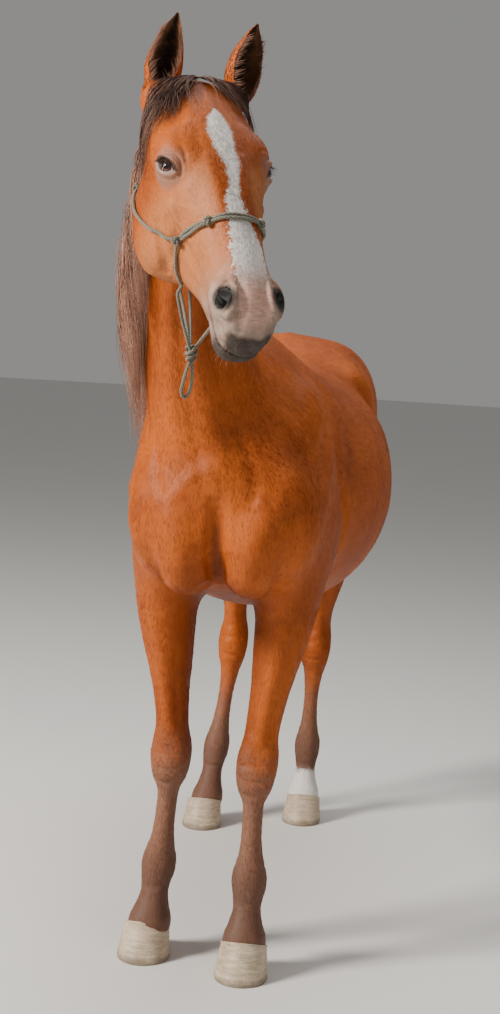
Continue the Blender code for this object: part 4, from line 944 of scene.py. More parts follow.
def ear(word):
    """A leaf rolled into a cup, as a closed shell: its wall is an arc round the line from root to tip, of the
    radius and half angle of the table, which bows backwards by 12 mm times the sine of its share and curls in
    at the edges. The outer wall's lowest rows turn outwards and run on along the skull. Last comes how deep
    in the cup a point is."""
    root, axis, facing, side = ear_frame(word)
    inward = 1 if word == "right" else -1
    rows, columns = EAR_ROWS, EAR_COLUMNS
    share = np.linspace(0, 1, rows) ** 0.92
    places, radii, angles = np.transpose(EAR)
    radius, half = curve(places, radii, share), np.radians(curve(places, angles, share))
    turn = np.linspace(-1, 1, columns)
    round_ = turn[None] * half[:, None]
    bulge = -0.012 * np.sin(share * math.pi)[:, None]
    curl = 0.006 * ease((share - 0.7) / 0.3)[:, None] * inward
    centre = root + share[:, None] * axis + bulge * facing + curl * side
    away = np.sin(round_)[..., None] * side - np.cos(round_)[..., None] * facing
    edge = 1 - 0.10 * np.abs(turn) ** 6
    grids = []
    for wall in (EAR_WALL / 2, -EAR_WALL / 2):
        thin = np.clip(2.4 * (1.03 - share), 0.3, 1)[:, None] * (1 - 0.6 * np.abs(turn) ** 8)
        r = radius[:, None] * edge * (1 + 0.015 * np.sin(5 * round_ + 9 * share[:, None])) + wall * thin
        grids.append(centre[:, None] + r[..., None] * away)
    outer, inner = grids
    foot = outer[4]
    for k, (reach, height) in enumerate(EAR_FLARE):
        outer[k] = settle(foot - EAR_SUNK * unit(axis) + away[4] * reach, height, 3)
    outer[4] = (2 * outer[4] + outer[3] + outer[5]) / 4
    index = np.arange(rows * columns).reshape(rows, columns)
    rim = np.concatenate([index[0], index[1:, -1], index[-1, -2::-1], index[-2:0:-1, 0]])
    after, size = np.roll(rim, -1), rows * columns
    walls = np.stack([rim, after, after + size, rim + size], axis=1)
    front = grid_faces(rows, columns)
    back = front[:, ::-1] + size
    points = np.concatenate([outer.reshape(-1, 3), inner.reshape(-1, 3)])
    deep = np.tile(1 - 0.8 * np.abs(turn) ** 1.5, rows)
    return points, np.concatenate([front, back, walls]), np.concatenate([np.zeros(size), deep])


def grid_faces(rows, columns, ring=False):
    """Quads between neighbouring rows of points, closing each row into a ring where asked."""
    index = np.arange(rows * columns).reshape(rows, columns)
    right = np.roll(index, -1, axis=1)
    if not ring:
        index, right = index[:, :-1], right[:, :-1]
    return np.stack([index[:-1], right[:-1], right[1:], index[1:]], axis=-1).reshape(-1, 4)


def tube_faces(rows, columns):
    """Quads of a tube of rings of points, and a face over each of its ends."""
    quads = grid_faces(rows, columns, ring=True)
    faces = np.full((len(quads) + 2, columns), -1)
    faces[:-2, :4] = quads
    faces[-2] = np.arange(columns)[::-1]
    faces[-1] = np.arange(columns) + (rows - 1) * columns
    return faces


# ---------------------------------------------------------------- the one skin
SKIN_CELL = 0.0134
SKIN_BOX = ((-0.42, -1.50, 0.03), (0.42, 1.02, 2.10))
NOSTRIL = (0.055, -0.016, 0.546)
FLESH = ("trunk", "neck", "head", "ear_")    # how the names of its nodes begin, besides the legs'


def fineness(points):
    """How many times a quad is cut in four: once on legs, head and breast, twice round eyes and muzzle and in
    the breast's cleft, and three times on the lids, the nostrils and the line of the mouth."""
    q = folded_head(points)
    head = (q[:, 2] > -0.03) & (q[:, 2] < 0.65) & (q[:, 0] < 0.14) & (np.abs(q[:, 1] + 0.12) < 0.21)
    eye = np.linalg.norm(q - EYE, axis=1)
    nostril = np.linalg.norm(q - NOSTRIL, axis=1)
    breast = (points[:, 1] < -0.68) & (points[:, 2] < 1.12) & (np.abs(points[:, 0]) < 0.17)
    level = (head | (points[:, 2] < 0.64) | breast).astype(int)
    level[breast & (np.abs(points[:, 0]) < 0.026)] = 2
    level[breast & (np.abs(points[:, 0]) < 0.010)] = 3
    level[head & ((q[:, 2] > 0.455) | (eye < 0.056))] = 2
    mouth = (q[:, 2] > 0.50) & (np.abs(q[:, 1] + 0.112) < 0.012)
    level[head & ((eye < 0.037) | (nostril < 0.040) | mouth)] = 3
    return level


MADE = {}


def skin_form():
    """The skin's points, faces, normals and the regions that its points belong to, worked out once. The ears'
    shells are the last of its points, and `inside` is 1 within their cups."""
    if MADE:
        return MADE
    cell = SKIN_CELL * 1
    points, quads = surface_net(lambda p: body(p, detail=False), *SKIN_BOX, cell)
    faces = quads
    for level in (1, 2, 3):
        centres = points[faces[:, :4]].mean(axis=1)
        chosen = (fineness(centres) >= level) & ((faces >= 0).sum(axis=1) == 4)
        points, faces = split(points, faces, chosen)
        points = settle(points, 0.0, 1)
    points = settle(points, 0.0, 3, reach=0.006)
    outs = normals(points)
    inside = np.zeros(len(points))
    for word in EAR_ROOTS:
        more, quads, within = ear(word)
        quads = np.pad(quads + len(points), ((0, 0), (0, faces.shape[1] - 4)), constant_values=-1)
        out = face_normals(more, quads[:, :4] - len(points))
        points, faces = np.concatenate([points, more]), np.concatenate([faces, quads])
        outs, inside = np.concatenate([outs, out]), np.concatenate([inside, within])
    MADE.update(points=points, faces=faces, outs=outs, inside=inside)
    return MADE


def face_normals(points, quads):
    """The mean direction of the quads round each point."""
    a, b, c, d = (points[quads[:, k]] for k in range(4))
    out = np.cross(c - a, d - b)
    total = np.zeros_like(points)
    for k in range(4):
        np.add.at(total, quads[:, k], out)
    return unit(total + 1e-12)


def make_skin(context):
    form = skin_form()
    thing = mesh_object("skin", form["points"], form["faces"], coat_finish(context))
    point_values(thing, "inside", form["inside"])
    nodes = [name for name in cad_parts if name.startswith(FLESH) or "_leg_" in name]
    return finish_piece(thing, "coat", *nodes)


# ---------------------------------------------------------------- the short coat, in tufts
TUFT_SKIN = 0.0004                # how deep a tuft's root is sunk
TUFT_UV = [(-0.0015, -0.0013), (0.0015, -0.0013), (0, 0), (0, 0.0015)]
TRUNK_AXIS = 1.08                 # height of the line that the trunk's map goes round
# piece: its part of the horse, tufts, their length, width and the lift of their tips
COATS = {
    "coat_trunk_left": (30000, 0.0135, 0.0015, 0.0013),
    "coat_trunk_right": (30000, 0.0135, 0.0015, 0.0013),
    "coat_neck": (34000, 0.0115, 0.0013, 0.0013),
    "coat_head": (44000, 0.0062, 0.0009, 0.0009),
    "coat_front_legs": (26000, 0.0090, 0.0012, 0.0012),
    "coat_hind_legs": (30000, 0.0095, 0.0013, 0.0012),
}


def coat_part(points):
    """Which coat piece each place belongs to, by number in COATS."""
    q = head_local(points)
    up = NECK_FRAME.local(points)[:, 2]
    part = np.where(points[:, 0] > 0, 0, 1)
    part[(up > 0.10) & (points[:, 1] < -0.50) & (points[:, 2] > 1.15)] = 2
    part[(q[:, 2] > -0.16) & (q[:, 1] > -0.33) & (points[:, 1] < -0.95)] = 3
    part[(points[:, 2] < 0.86) & (points[:, 1] < 0.0)] = 4
    part[(points[:, 2] < 0.90) & (points[:, 1] > 0.30)] = 5
    belly = (points[:, 2] > 0.70) & (np.abs(points[:, 1] - 0.02) < 0.36)
    part[belly & (part > 3)] = 0
    return part


def lie(points, part):
    """Which way the coat lies: back and down on the trunk, down the haunch and the legs, from the poll down
    the neck, down the face on the head, towards the tips on the ears."""
    down = ease((points[:, 1] - 0.45) / 0.35)[:, None]
    way = np.array((0, 0.85, -0.45)) * (1 - down) + np.array((0, 0.15, -1.0)) * down
    chest = ease((-0.62 - points[:, 1]) / 0.15)[:, None]
    way = way * (1 - chest) + np.array((0, 0.2, -1.0)) * chest
    neck, head, legs = (part == 2), (part == 3), (part > 3)
    way[neck] = -NECK_FRAME.axes[:, 2] * 0.8 + np.array((0, 0.1, -0.35))
    way[head] = HEAD.axes[:, 2]
    way[legs] = (0, 0.12, -1)
    for word in EAR_ROOTS:
        root, axis, _, _ = ear_frame(word)
        up = (points - root) @ axis / (axis @ axis)
        off = np.linalg.norm(points - root - up[:, None] * axis, axis=1)
        way[head & (up > 0.05) & (off < 0.06)] = axis
    return unit(way)


def unwrap(points, part):
    """A place between 0 and 1 each way for each point: round and along the axis of its part of the body."""
    q, n = head_local(points), neck_local(points)
    u, v = np.zeros(len(points)), np.zeros(len(points))
    trunk = points[:, 0], points[:, 2] - TRUNK_AXIS, (points[:, 1] + 0.95) / 1.95
    rounds = {
        0: (*trunk, 1),
        1: (*trunk, -1),
        2: (n[:, 0], n[:, 1], (n[:, 2] + 0.15) / 1.10, 0),
        3: (q[:, 0], q[:, 1] + 0.08, (q[:, 2] + 0.18) / 0.82, 0),
    }
    for number, (across, up, along, half) in rounds.items():
        angle = np.arctan2(across, up) / math.pi
        here = part == number
        u[here] = (angle * half if half else (angle + 1) / 2)[here]
        v[here] = along[here]
    for name in LEG_LINES:
        number = 4 if name.startswith("front") else 5
        here = (part == number) & ((points[:, 0] > 0) == name.endswith("left"))
        side, back = leg_axis(name, np.clip(points[:, 2], 0, 1.1))
        angle = (np.arctan2(points[:, 0] - side, points[:, 1] - back) / math.pi + 1) / 2
        u[here] = ((angle + name.endswith("left")) / 2)[here]
        v[here] = points[here, 2] / 0.92
    return np.clip(np.stack([u, v], axis=1), 0, 1) * 0.99 + 0.005


def spikes(roots, outs, ways, length, width, lift):
    """Closed spikes of four faces. A triangle across the root is sunk in the skin, and the tip lies along the
    coat."""
    sides = np.cross(ways, outs)
    length, width, lift = (np.asarray(v)[:, None] for v in (length, width, lift))
    tails = roots - ways * length * 0.12 - outs * TUFT_SKIN
    corners = [tails - sides * width / 2, tails + sides * width / 2, tails + outs * (TUFT_SKIN + 0.00022),
               roots + ways * length + outs * lift]
    points = np.stack(corners, axis=1).reshape(-1, 3)
    order = np.array([(0, 1, 2), (1, 0, 3), (0, 2, 3), (2, 1, 3)])
    faces = (np.arange(len(roots))[:, None, None] * 4 + order).reshape(-1, 3)
    return points, faces


def skin_samples(count, chosen, weight, rng):
    """Places on the skin, picked by area times weight among the chosen faces, with their directions
    outwards."""
    form = skin_form()
    faces = form["faces"][chosen][:, :4]
    a, b, c, d = (form["points"][faces[:, k]] for k in range(4))
    area = np.linalg.norm(np.cross(c - a, d - b), axis=1) * weight
    pick = rng.choice(len(faces), count, p=area / area.sum())
    u, v = rng.random((2, count, 1))
    share = ((1 - u) * (1 - v), u * (1 - v), u * v, (1 - u) * v)
    places, outs = (sum(w * grid[faces[pick, k]] for k, w in enumerate(share))
                    for grid in (form["points"], form["outs"]))
    return places, unit(outs)


def make_coats(context):
    """Tufts over the whole skin, rooted in it and lying along it, in one piece for each part of the body."""
    form, sizes = skin_form(), context.scene.horse_hair
    centres = form["points"][form["faces"][:, :4]].mean(axis=1)
    part = coat_part(centres)
    shown = (form["inside"][form["faces"][:, :4]].max(axis=1) < 0.1) & ~hidden(centres)
    for number, (name, (count, length, width, lift)) in enumerate(COATS.items()):
        rng = np.random.default_rng(100 + number)
        count //= 1
        chosen = shown & (part == number)
        roots, outs = skin_samples(count, chosen, tuft_density(centres[chosen]), rng)
        here = np.full(count, number)
        ways = lie(roots, here)
        ways = ways + 0.16 * rng.standard_normal(ways.shape)
        ways = unit(ways - (ways * outs).sum(axis=1)[:, None] * outs)
        small = tuft_size(roots)
        size = small * rng.uniform(0.7, 1.25, count) * sizes.coat_length
        lifts = lift * small * rng.uniform(0.25, 1.15, count) ** 1.5
        points, faces = spikes(roots, outs, ways, length * size, width * np.sqrt(small), lifts)
        thing = mesh_object(name, points, faces, coat_finish(context))
        shaded = unit(outs + 0.09 * rng.standard_normal(outs.shape) + 0.06 * ways)
        thing.data.normals_split_custom_set_from_vertices(np.repeat(shaded, 4, axis=0))
        uv_map(thing, "OFBake", (unwrap(roots, here)[:, None] + TUFT_UV).reshape(-1, 2), faces)
        finish_piece(thing, "coat")


def hidden(points):
    """Whether the skin there lies in a hoof, or in the opening of an eye or a nostril."""
    q = folded_head(points)
    _, along, up = eye_axes()
    away = q - EYE
    eye = ((away @ along) / (LID_LENGTH * 1.10)) ** 2 + ((away @ up - 0.001) / (LID_UP * 1.12)) ** 2 < 1
    eye &= np.linalg.norm(away, axis=1) < 0.05
    nostril = np.linalg.norm((q - NOSTRIL) / (1, 1.5, 1.1), axis=1) < 0.019
    return eye | nostril | (points[:, 2] < 0.095)


def tuft_size(points):
    """How long a tuft is against its part's own length: shortest on the muzzle, round the eyes and at the
    coronets, longest behind the fetlocks."""
    q = folded_head(points)
    muzzle = ease((q[:, 2] - 0.40) / 0.14) * ease((q[:, 1] + 0.4) / 0.1) * (points[:, 1] < -1.2)
    eye = 1 - ease((np.linalg.norm(q - EYE, axis=1) - 0.025) / 0.05)
    foot = 1 - ease((points[:, 2] - 0.09) / 0.10)
    return np.clip((1 - 0.60 * muzzle) * (1 - 0.55 * eye) * (1 - 0.3 * foot), 0.3, 1.2)


def tuft_density(points):
    """More tufts to the area on the face and lower legs than elsewhere."""
    q = folded_head(points)
    face = ease((q[:, 2] - 0.05) / 0.2) * (points[:, 1] < -1.0)
    leg = 1 - ease((points[:, 2] - 0.25) / 0.4)
    return 1 + 0.8 * face + 0.6 * leg


# ---------------------------------------------------------------- hair: mane, forelock, tail, whiskers
def strands(paths, widths):
    """Closed three-sided tubes along paths, which taper to a point: at each place of a path a triangle lies
    square to it, of the width there. `paths` is strands by places by 3, and `widths` strands by places."""
    count, places = paths.shape[:2]
    heading = unit(np.gradient(paths, axis=1))
    guide = np.array((0.31, -0.64, 0.70))
    first = unit(np.cross(heading, guide))
    second = np.cross(heading, first)
    angle = np.array((0, 2, 4)) * math.pi / 3
    ring = np.cos(angle)[:, None] * first[:, :, None] + np.sin(angle)[:, None] * second[:, :, None]
    points = paths[:, :, None] + ring * (widths / 2)[:, :, None, None]
    index = np.arange(count * places * 3).reshape(count, places, 3)
    after = np.roll(index, -1, axis=2)
    sides = np.stack([index[:, :-1], after[:, :-1], after[:, 1:], index[:, 1:]], axis=-1).reshape(-1, 4)
    caps = np.concatenate([index[:, 0, ::-1], index[:, -1]])
    faces = np.concatenate([sides, np.pad(caps, ((0, 0), (0, 1)), constant_values=-1)])
    return points.reshape(-1, 3), faces


def hair_object(context, name, paths, widths, shades, *nodes):
    """Strands as one piece, which keeps how light each strand is, and how far along it a point lies."""
    thing = mesh_object(name, *strands(paths, widths), hair_finish(context))
    count, places = paths.shape[:2]
    point_values(thing, "shade", np.repeat(shades, places * 3))
    point_values(thing, "along", np.tile(np.repeat(np.linspace(0, 1, places), 3), count))
    return finish_piece(thing, "hair", *nodes)


def taper(places, root=0.55, full=0.25):
    """The width of a strand along itself: it swells from its root, then thins to its tip."""
    t = np.linspace(0, 1, places)
    return (root + (1 - root) * ease(t / full)) * (1 - ease((t - 0.35) / 0.65) * 0.88)


MANE_FRONT, MANE_BACK = -0.935, -0.44
MANE_DROP = 0.58                  # length of the sheet down which it falls
MANE_SPAN = 0.44                  # length of the crest that strands drift along
MANE_LOCKS, MANE_PLACES = 150, 12
# share of the way back, length of the hair, how deep it hangs
MANE = [(0.0, 0.34, 0.055), (0.2, 0.52, 0.088), (0.45, 0.56, 0.090), (0.7, 0.44, 0.060), (1.0, 0.22, 0.016)]
# share of the fall, share of the depth there
MANE_SWELL = [(0.0, 0.20), (0.12, 0.55), (0.45, 1.0), (0.75, 0.85), (1.0, 0.30)]


def neck_slice(y):
    """A slice across the neck at y: its levels, how far right the flesh reaches at each, its top and its
    crest."""
    x, levels = np.linspace(-0.36, 0.16, 105), np.linspace(1.05, 2.05, 121)
    grid = np.stack(np.meshgrid(x, levels, indexing="ij"), axis=-1).reshape(-1, 2)
    places = np.stack([grid[:, 0], np.full(len(grid), y), grid[:, 1]], axis=1)
    inside = (body(places, detail=False) < 0).reshape(len(x), len(levels))
    top = np.flatnonzero(inside.any(axis=0)).max()
    crest = x[inside[:, top]].mean()
    reach = np.where(inside.any(axis=0), x[inside.argmax(axis=0)], crest)
    return levels, reach, levels[top], crest


def mane_fall(columns=23, rows=24):
    """The sheet down which the mane falls: over the neck's right side, then straight down from where that is
    widest. Gives its points, back along the crest by down the fall, and its directions outwards."""
    fall = np.linspace(0, 1, rows) ** 1.4
    lines = []
    for y in np.linspace(MANE_FRONT - 0.02, MANE_BACK + 0.02, columns):
        levels, reach, top, crest = neck_slice(y)
        z = top + 0.004 - MANE_DROP * fall
        x = np.minimum.accumulate(np.minimum(np.interp(z, levels, reach), crest)) - 0.003
        x[0] = crest
        x = np.convolve(np.pad(x, 1, mode="edge"), (0.25, 0.5, 0.25), mode="valid")
        x[0] = crest
        lines.append(np.stack([x, np.full(rows, y), z], axis=1))
    sheet = np.array(lines)
    sheet = (sheet + np.roll(sheet, 1, axis=0) + np.roll(sheet, -1, axis=0))[1:-1] / 3
    step = np.gradient(sheet, axis=1)
    away = np.stack([step[..., 2], np.zeros(step.shape[:2]), -step[..., 0]], axis=-1)
    return sheet, unit(away), fall


def on_grid(grid, row, column):
    """Values of a grid between its rows and columns, mixed from the nearest four."""
    row = np.clip(row, 0, grid.shape[0] - 1.001)
    column = np.clip(column, 0, grid.shape[1] - 1.001)
    i, j = row.astype(int), column.astype(int)
    u, v = (row - i)[..., None], (column - j)[..., None]
    return ((1 - u) * (1 - v) * grid[i, j] + u * (1 - v) * grid[i + 1, j]
            + (1 - u) * v * grid[i, j + 1] + u * v * grid[i + 1, j + 1])


def wander(rng, count, places, size, waves=2.2):
    """A smooth drift along each strand, from nothing at its root: two sine waves of random phase."""
    t = np.linspace(0, 1, places)[None]
    phase = rng.uniform(0, 2 * math.pi, (2, count, 1))
    pace = rng.uniform(0.7, 1.3, (2, count, 1)) * waves
    wave = np.sin(phase[0] + pace[0] * math.pi * t) + 0.5 * np.sin(phase[1] + 2.3 * pace[1] * math.pi * t)
    return size * (wave - wave[:, :1]) * ease(t / 0.6)


def make_mane(context):
    """Locks that leave the crest, fall over the right side of the neck, and draw together towards their
    tips."""
    rng = np.random.default_rng(7)
    sheet, away, fall = mane_fall()
    places, count = MANE_PLACES, context.scene.horse_hair.mane // 1
    locks = MANE_LOCKS
    lock = rng.integers(0, locks, count)
    lock_share, lock_layer = np.sort(rng.random(locks)), rng.random(locks) ** 0.7
    lock_drift = rng.normal(0, 0.020, locks)
    lock_length = rng.uniform(0.70, 1.04, locks)
    t = np.linspace(0, 1, places)[None]
    share = np.clip(lock_share[lock] + rng.normal(0, 0.016, count), 0.0, 1)
    stations, lengths, depths = np.transpose(MANE)
    length = curve(stations, lengths, share) * lock_length[lock] * rng.uniform(0.80, 1.03, count)
    depth = curve(stations, depths, share)
    tight = ease(t / 0.8) * 0.75
    share_at = share[:, None] + (lock_share[lock] - share)[:, None] * tight
    drift = lock_drift[lock][:, None] * ease(t) + wander(rng, count, places, 0.010)
    share_at = share_at + drift / MANE_SPAN
    down = t * length[:, None]
    column = np.interp(down / MANE_DROP, fall, np.arange(len(fall)))
    row = share_at * (sheet.shape[0] - 1)
    place, out = on_grid(sheet, row, column), unit(on_grid(away, row, column))
    layer = lock_layer[lock][:, None] * 0.8 + rng.random((count, 1)) * 0.2
    swell = np.interp(down / np.maximum(length[:, None], 0.01), *zip(*MANE_SWELL))
    lift = 0.0015 + depth[:, None] * swell * layer * (1 - 0.25 * tight) * 0.92
    lift = lift + np.clip(wander(rng, count, places, 0.0045, 3.0), -0.004, 0.006)
    paths = place + out * np.maximum(lift, 0.001)[..., None]
    paths[:, :, 0] += (1 - ease(t / 0.10)) * rng.normal(0, 0.008, (count, 1)) + 0.004 * (1 - ease(t / 0.1))
    widths = taper(places)[None] * rng.uniform(0.0013, 0.0026, (count, 1))
    shades = 0.30 * rng.random(count) + 0.55 * rng.random(locks)[lock] ** 1.3 + 0.22 * lock_layer[lock]
    return hair_object(context, "mane_hair", paths, widths, shades, "mane")


def make_forelock(context):
    """Hair from between the ears, which parts over the forehead: each strand swings out to its side as a
    quarter of a sine wave while it runs down the face, and the more it lies over the side, the more it falls
    straight down."""
    rng = np.random.default_rng(11)
    count, places = context.scene.horse_hair.forelock // 1, 14
    t = np.linspace(0, 1, places)[None]
    side = rng.choice((-1, -1, -1, 1), count)[:, None]
    spread = rng.beta(3.6, 1.5, (count, 1))
    length = rng.uniform(0.06, 0.14, (count, 1))
    length = length + np.where(side < 0, 0.13, 0.04) * spread * rng.random((count, 1))
    swing = np.sin(np.clip(t * 1.30, 0, 1) * math.pi / 2)
    x = side * (0.022 * rng.random((count, 1)) ** 2 + 0.112 * spread * swing)
    x = x + wander(rng, count, places, 0.004, 3.0)
    s = -0.034 + 0.022 * rng.random((count, 1)) + length * t
    up = 0.030 - 0.75 * length * t * np.clip(np.abs(x) / 0.105, 0, 1) ** 2
    start = on_head(np.stack([x, up, s], axis=-1).reshape(-1, 3))
    loose = 0.014 * spread * ease((t - 0.3) / 0.7) * rng.random((count, 1))
    arch = np.sin(np.clip(t * 1.2, 0, 1) * math.pi) ** 0.8
    lift = 0.0015 + 0.012 * rng.random((count, 1)) * arch + 0.004 * (1 - t) + loose
    base = settle(start, 0.002, 4)
    paths = (base + normals(base) * lift.reshape(-1, 1)).reshape(count, places, 3)
    widths = taper(places)[None] * rng.uniform(0.0009, 0.0019, (count, 1))
    return hair_object(context, "forelock_hair", paths, widths, 0.05 + 0.42 * rng.random(count), "forelock")


TAIL_LOCKS, TAIL_PLACES = 90, 13
# height, back, half width, half depth of the tail, from its root down
TAIL = [(1.360, 0.800, 0.030, 0.030), (1.350, 0.850, 0.032, 0.034), (1.300, 0.900, 0.036, 0.038),
        (1.200, 0.925, 0.048, 0.044), (1.050, 0.930, 0.062, 0.050), (0.880, 0.920, 0.072, 0.052),
        (0.720, 0.905, 0.072, 0.048), (0.580, 0.892, 0.056, 0.036), (0.470, 0.885, 0.030, 0.020),
        (0.420, 0.883, 0.010, 0.008)]


def make_tail(context):
    """Hair that leaves the dock backwards, turns down and draws to a point below the hocks: each strand keeps
    its own place in the oval of the tail's width and depth."""
    rng = np.random.default_rng(13)
    places, count = TAIL_PLACES, context.scene.horse_hair.tail // 1
    z, y, width, depth = np.transpose(TAIL)
    stations = np.arange(len(TAIL))
    locks = TAIL_LOCKS
    lock = rng.integers(0, locks, count)
    turn = rng.uniform(0, 2 * math.pi, locks)[lock] + rng.normal(0, 0.30, count)
    radius = np.sqrt(rng.random(locks))[lock] * 0.85 + 0.12 * rng.random(count)
    begin = rng.uniform(0.0, 3.2, count) * (0.3 + 0.7 * radius)
    end = len(TAIL) - 1.0 - np.abs(rng.normal(0, 1.3, count)) - rng.random(locks)[lock] * 1.2
    at = begin[:, None] + (np.maximum(end, begin + 2.5) - begin)[:, None] * np.linspace(0, 1, places)[None]
    centre = np.stack([np.zeros(at.shape), curve(stations, y, at), curve(stations, z, at)], axis=-1)
    heading = unit(np.stack([np.zeros(at.shape), curve(stations, np.gradient(y), at),
                             curve(stations, np.gradient(z), at)], axis=-1))
    back = np.cross((1.0, 0, 0), heading)
    reach = radius[:, None] * (0.80 + 0.15 * np.sin(at))
    offset_x = np.cos(turn)[:, None] * reach * curve(stations, width, at) + wander(rng, count, places, 0.004)
    offset_y = np.sin(turn)[:, None] * reach * curve(stations, depth, at) + wander(rng, count, places, 0.003)
    paths = centre + offset_x[..., None] * (1, 0, 0) - offset_y[..., None] * back
    widths = taper(places)[None] * rng.uniform(0.0015, 0.0030, (count, 1))
    shades = 0.25 * rng.random(count) + 0.20 * rng.random(locks)[lock]
    return hair_object(context, "tail_hair", paths, widths, shades, "tail")


WHISKER_PLACES = 7
FEELERS, LASHES, EAR_HAIRS, FETLOCK_HAIRS = 60, 46, 420, 90    # on chin and lip, eye, ear and leg, each
EAR_EDGE = 6                      # columns at each edge of an ear that its long hair grows on


def make_whiskers(context):
    """Feelers on chin and lips, lashes on the upper lids, long hair in the ears' openings and behind the
    fetlocks."""
    rng = np.random.default_rng(17)
    t = np.linspace(0, 1, WHISKER_PLACES)[None, :, None]
    groups = []

    def stand(roots, outs, way, length, lift, bend, width, shade, hang=0.0):
        """Hairs that leave the skin along a mix of its own direction and the way given, bend over to it and
        hang."""
        count = len(roots)
        length = length * rng.uniform(0.6, 1.15, (count, 1, 1))
        first = unit(outs * lift + way * (1 - lift) + 0.15 * rng.standard_normal(roots.shape))[:, None]
        over = bend * np.asarray(way) + hang * np.array((0, 0, -1))
        paths = (roots - outs * 0.0008)[:, None] + first * length * t + length * t * t * over
        widths = taper(WHISKER_PLACES)[None] * np.full((count, 1), width)
        groups.append((paths, widths, shade + 0.3 * rng.random(count)))

    def feelers(*place):
        """Roots on the skin near places in the head's own frame, and the directions outwards there."""
        roots = settle(on_head(np.stack(place, axis=1)), 0.0, 4)
        return roots, normals(roots), HEAD.axes[:, 2]

    count = FEELERS
    stand(*feelers(rng.uniform(-0.040, 0.040, count), rng.uniform(-0.175, -0.118, count),
                   rng.uniform(0.515, 0.600, count)), 0.016, 0.8, 0.25, 0.00035, 0.6, 0.2)
    stand(*feelers(rng.choice((-1, 1), count) * rng.uniform(0.015, 0.055, count),
                   rng.uniform(-0.10, -0.05, count), rng.uniform(0.545, 0.605, count)),
          0.016, 0.8, 0.3, 0.0004, 0.6)
    for side in (-1, 1):
        arc = eye_arc(18, 165, (1.02, 1.10, 1.1), 0.0235, LASHES) * (side, 1, 1)
        gaze, _, up = (v * (side, 1, 1) for v in eye_axes())
        stand(settle(on_head(arc), -0.0004, 2), HEAD.axes @ gaze, HEAD.axes @ unit(gaze * 0.4 - up * 0.8),
              0.013, 0.75, 0.45, 0.0006, 0.0)
    for word in EAR_ROOTS:
        root, axis, facing, side = ear_frame(word)
        points, _, _ = ear(word)
        inner = points[len(points) // 2:].reshape(EAR_ROWS, EAR_COLUMNS, 3)
        edges = (*range(EAR_EDGE), *range(EAR_COLUMNS - EAR_EDGE, EAR_COLUMNS))
        roots = inner[rng.integers(3, 27, EAR_HAIRS), rng.choice(edges, EAR_HAIRS)]
        middle = root + ((roots - root) @ axis / (axis @ axis))[:, None] * axis
        stand(roots, unit(middle - roots), unit(axis * 5 + facing), 0.024, 0.35, 0.25, 0.0009, 0.55)
    for name in LEG_LINES:
        low = 0.165 if name.startswith("front") else 0.175
        height = rng.uniform(low, low + 0.035, FETLOCK_HAIRS)
        side, back = leg_axis(name, height)
        roots = np.stack([side + rng.normal(0, 0.011, FETLOCK_HAIRS), back + 0.055, height], axis=1)
        roots = settle(roots, 0.0, 4)
        stand(roots, normals(roots), np.array((0, 0.25, -1.0)), 0.024, 0.35, 0.3, 0.0011, 0.3, 0.3)
    paths, widths, shades = (np.concatenate(part) for part in zip(*groups))
    return hair_object(context, "whiskers", paths, widths, shades)


# ---------------------------------------------------------------- eyes
EYE_GRID = 40, 56                 # rows from the gaze to its opposite, columns round it


def make_eyes(context):
    """Each eye is a ball with the clear cornea's bulge in front: the distance from the centre grows from the
    ball's radius by 1.3 mm, as the cosine of the angle from the gaze."""
    rows, columns = EYE_GRID
    for side, word in ((1, "left"), (-1, "right")):
        gaze, along, up = (v * (side, 1, 1) for v in eye_axes())
        polar = np.linspace(0.0008, math.pi - 0.0008, rows)[:, None]
        round_ = np.linspace(0, 2 * math.pi, columns, endpoint=False)[None] * side
        bulge = 1 + 0.055 * ease((0.80 - polar) / 0.80)
        local = np.stack([np.cos(polar) * np.ones_like(round_), np.sin(polar) * np.cos(round_),
                          np.sin(polar) * np.sin(round_)], axis=-1) * (bulge * EYE_RADIUS)[..., None]
        centre = np.array(EYE) * (side, 1, 1)
        points = on_head(centre + local.reshape(-1, 3) @ np.array((gaze, along, up)))
        thing = mesh_object(f"eyeball_{word}", points, tube_faces(rows, columns)[:, ::-1],
                            eye_finish(context, side))
        recalculate(thing)
        finish_piece(thing, "eye", f"eye_{word}")


def recalculate(thing):
    """Turns all faces of a closed piece outwards."""
    shape = bmesh.new()
    shape.from_mesh(thing.data)
    bmesh.ops.recalc_face_normals(shape, faces=shape.faces)
    shape.to_mesh(thing.data)
    shape.free()


# ---------------------------------------------------------------- hooves
HOOF_GRID = 44, 72                # rows up the wall, columns round it


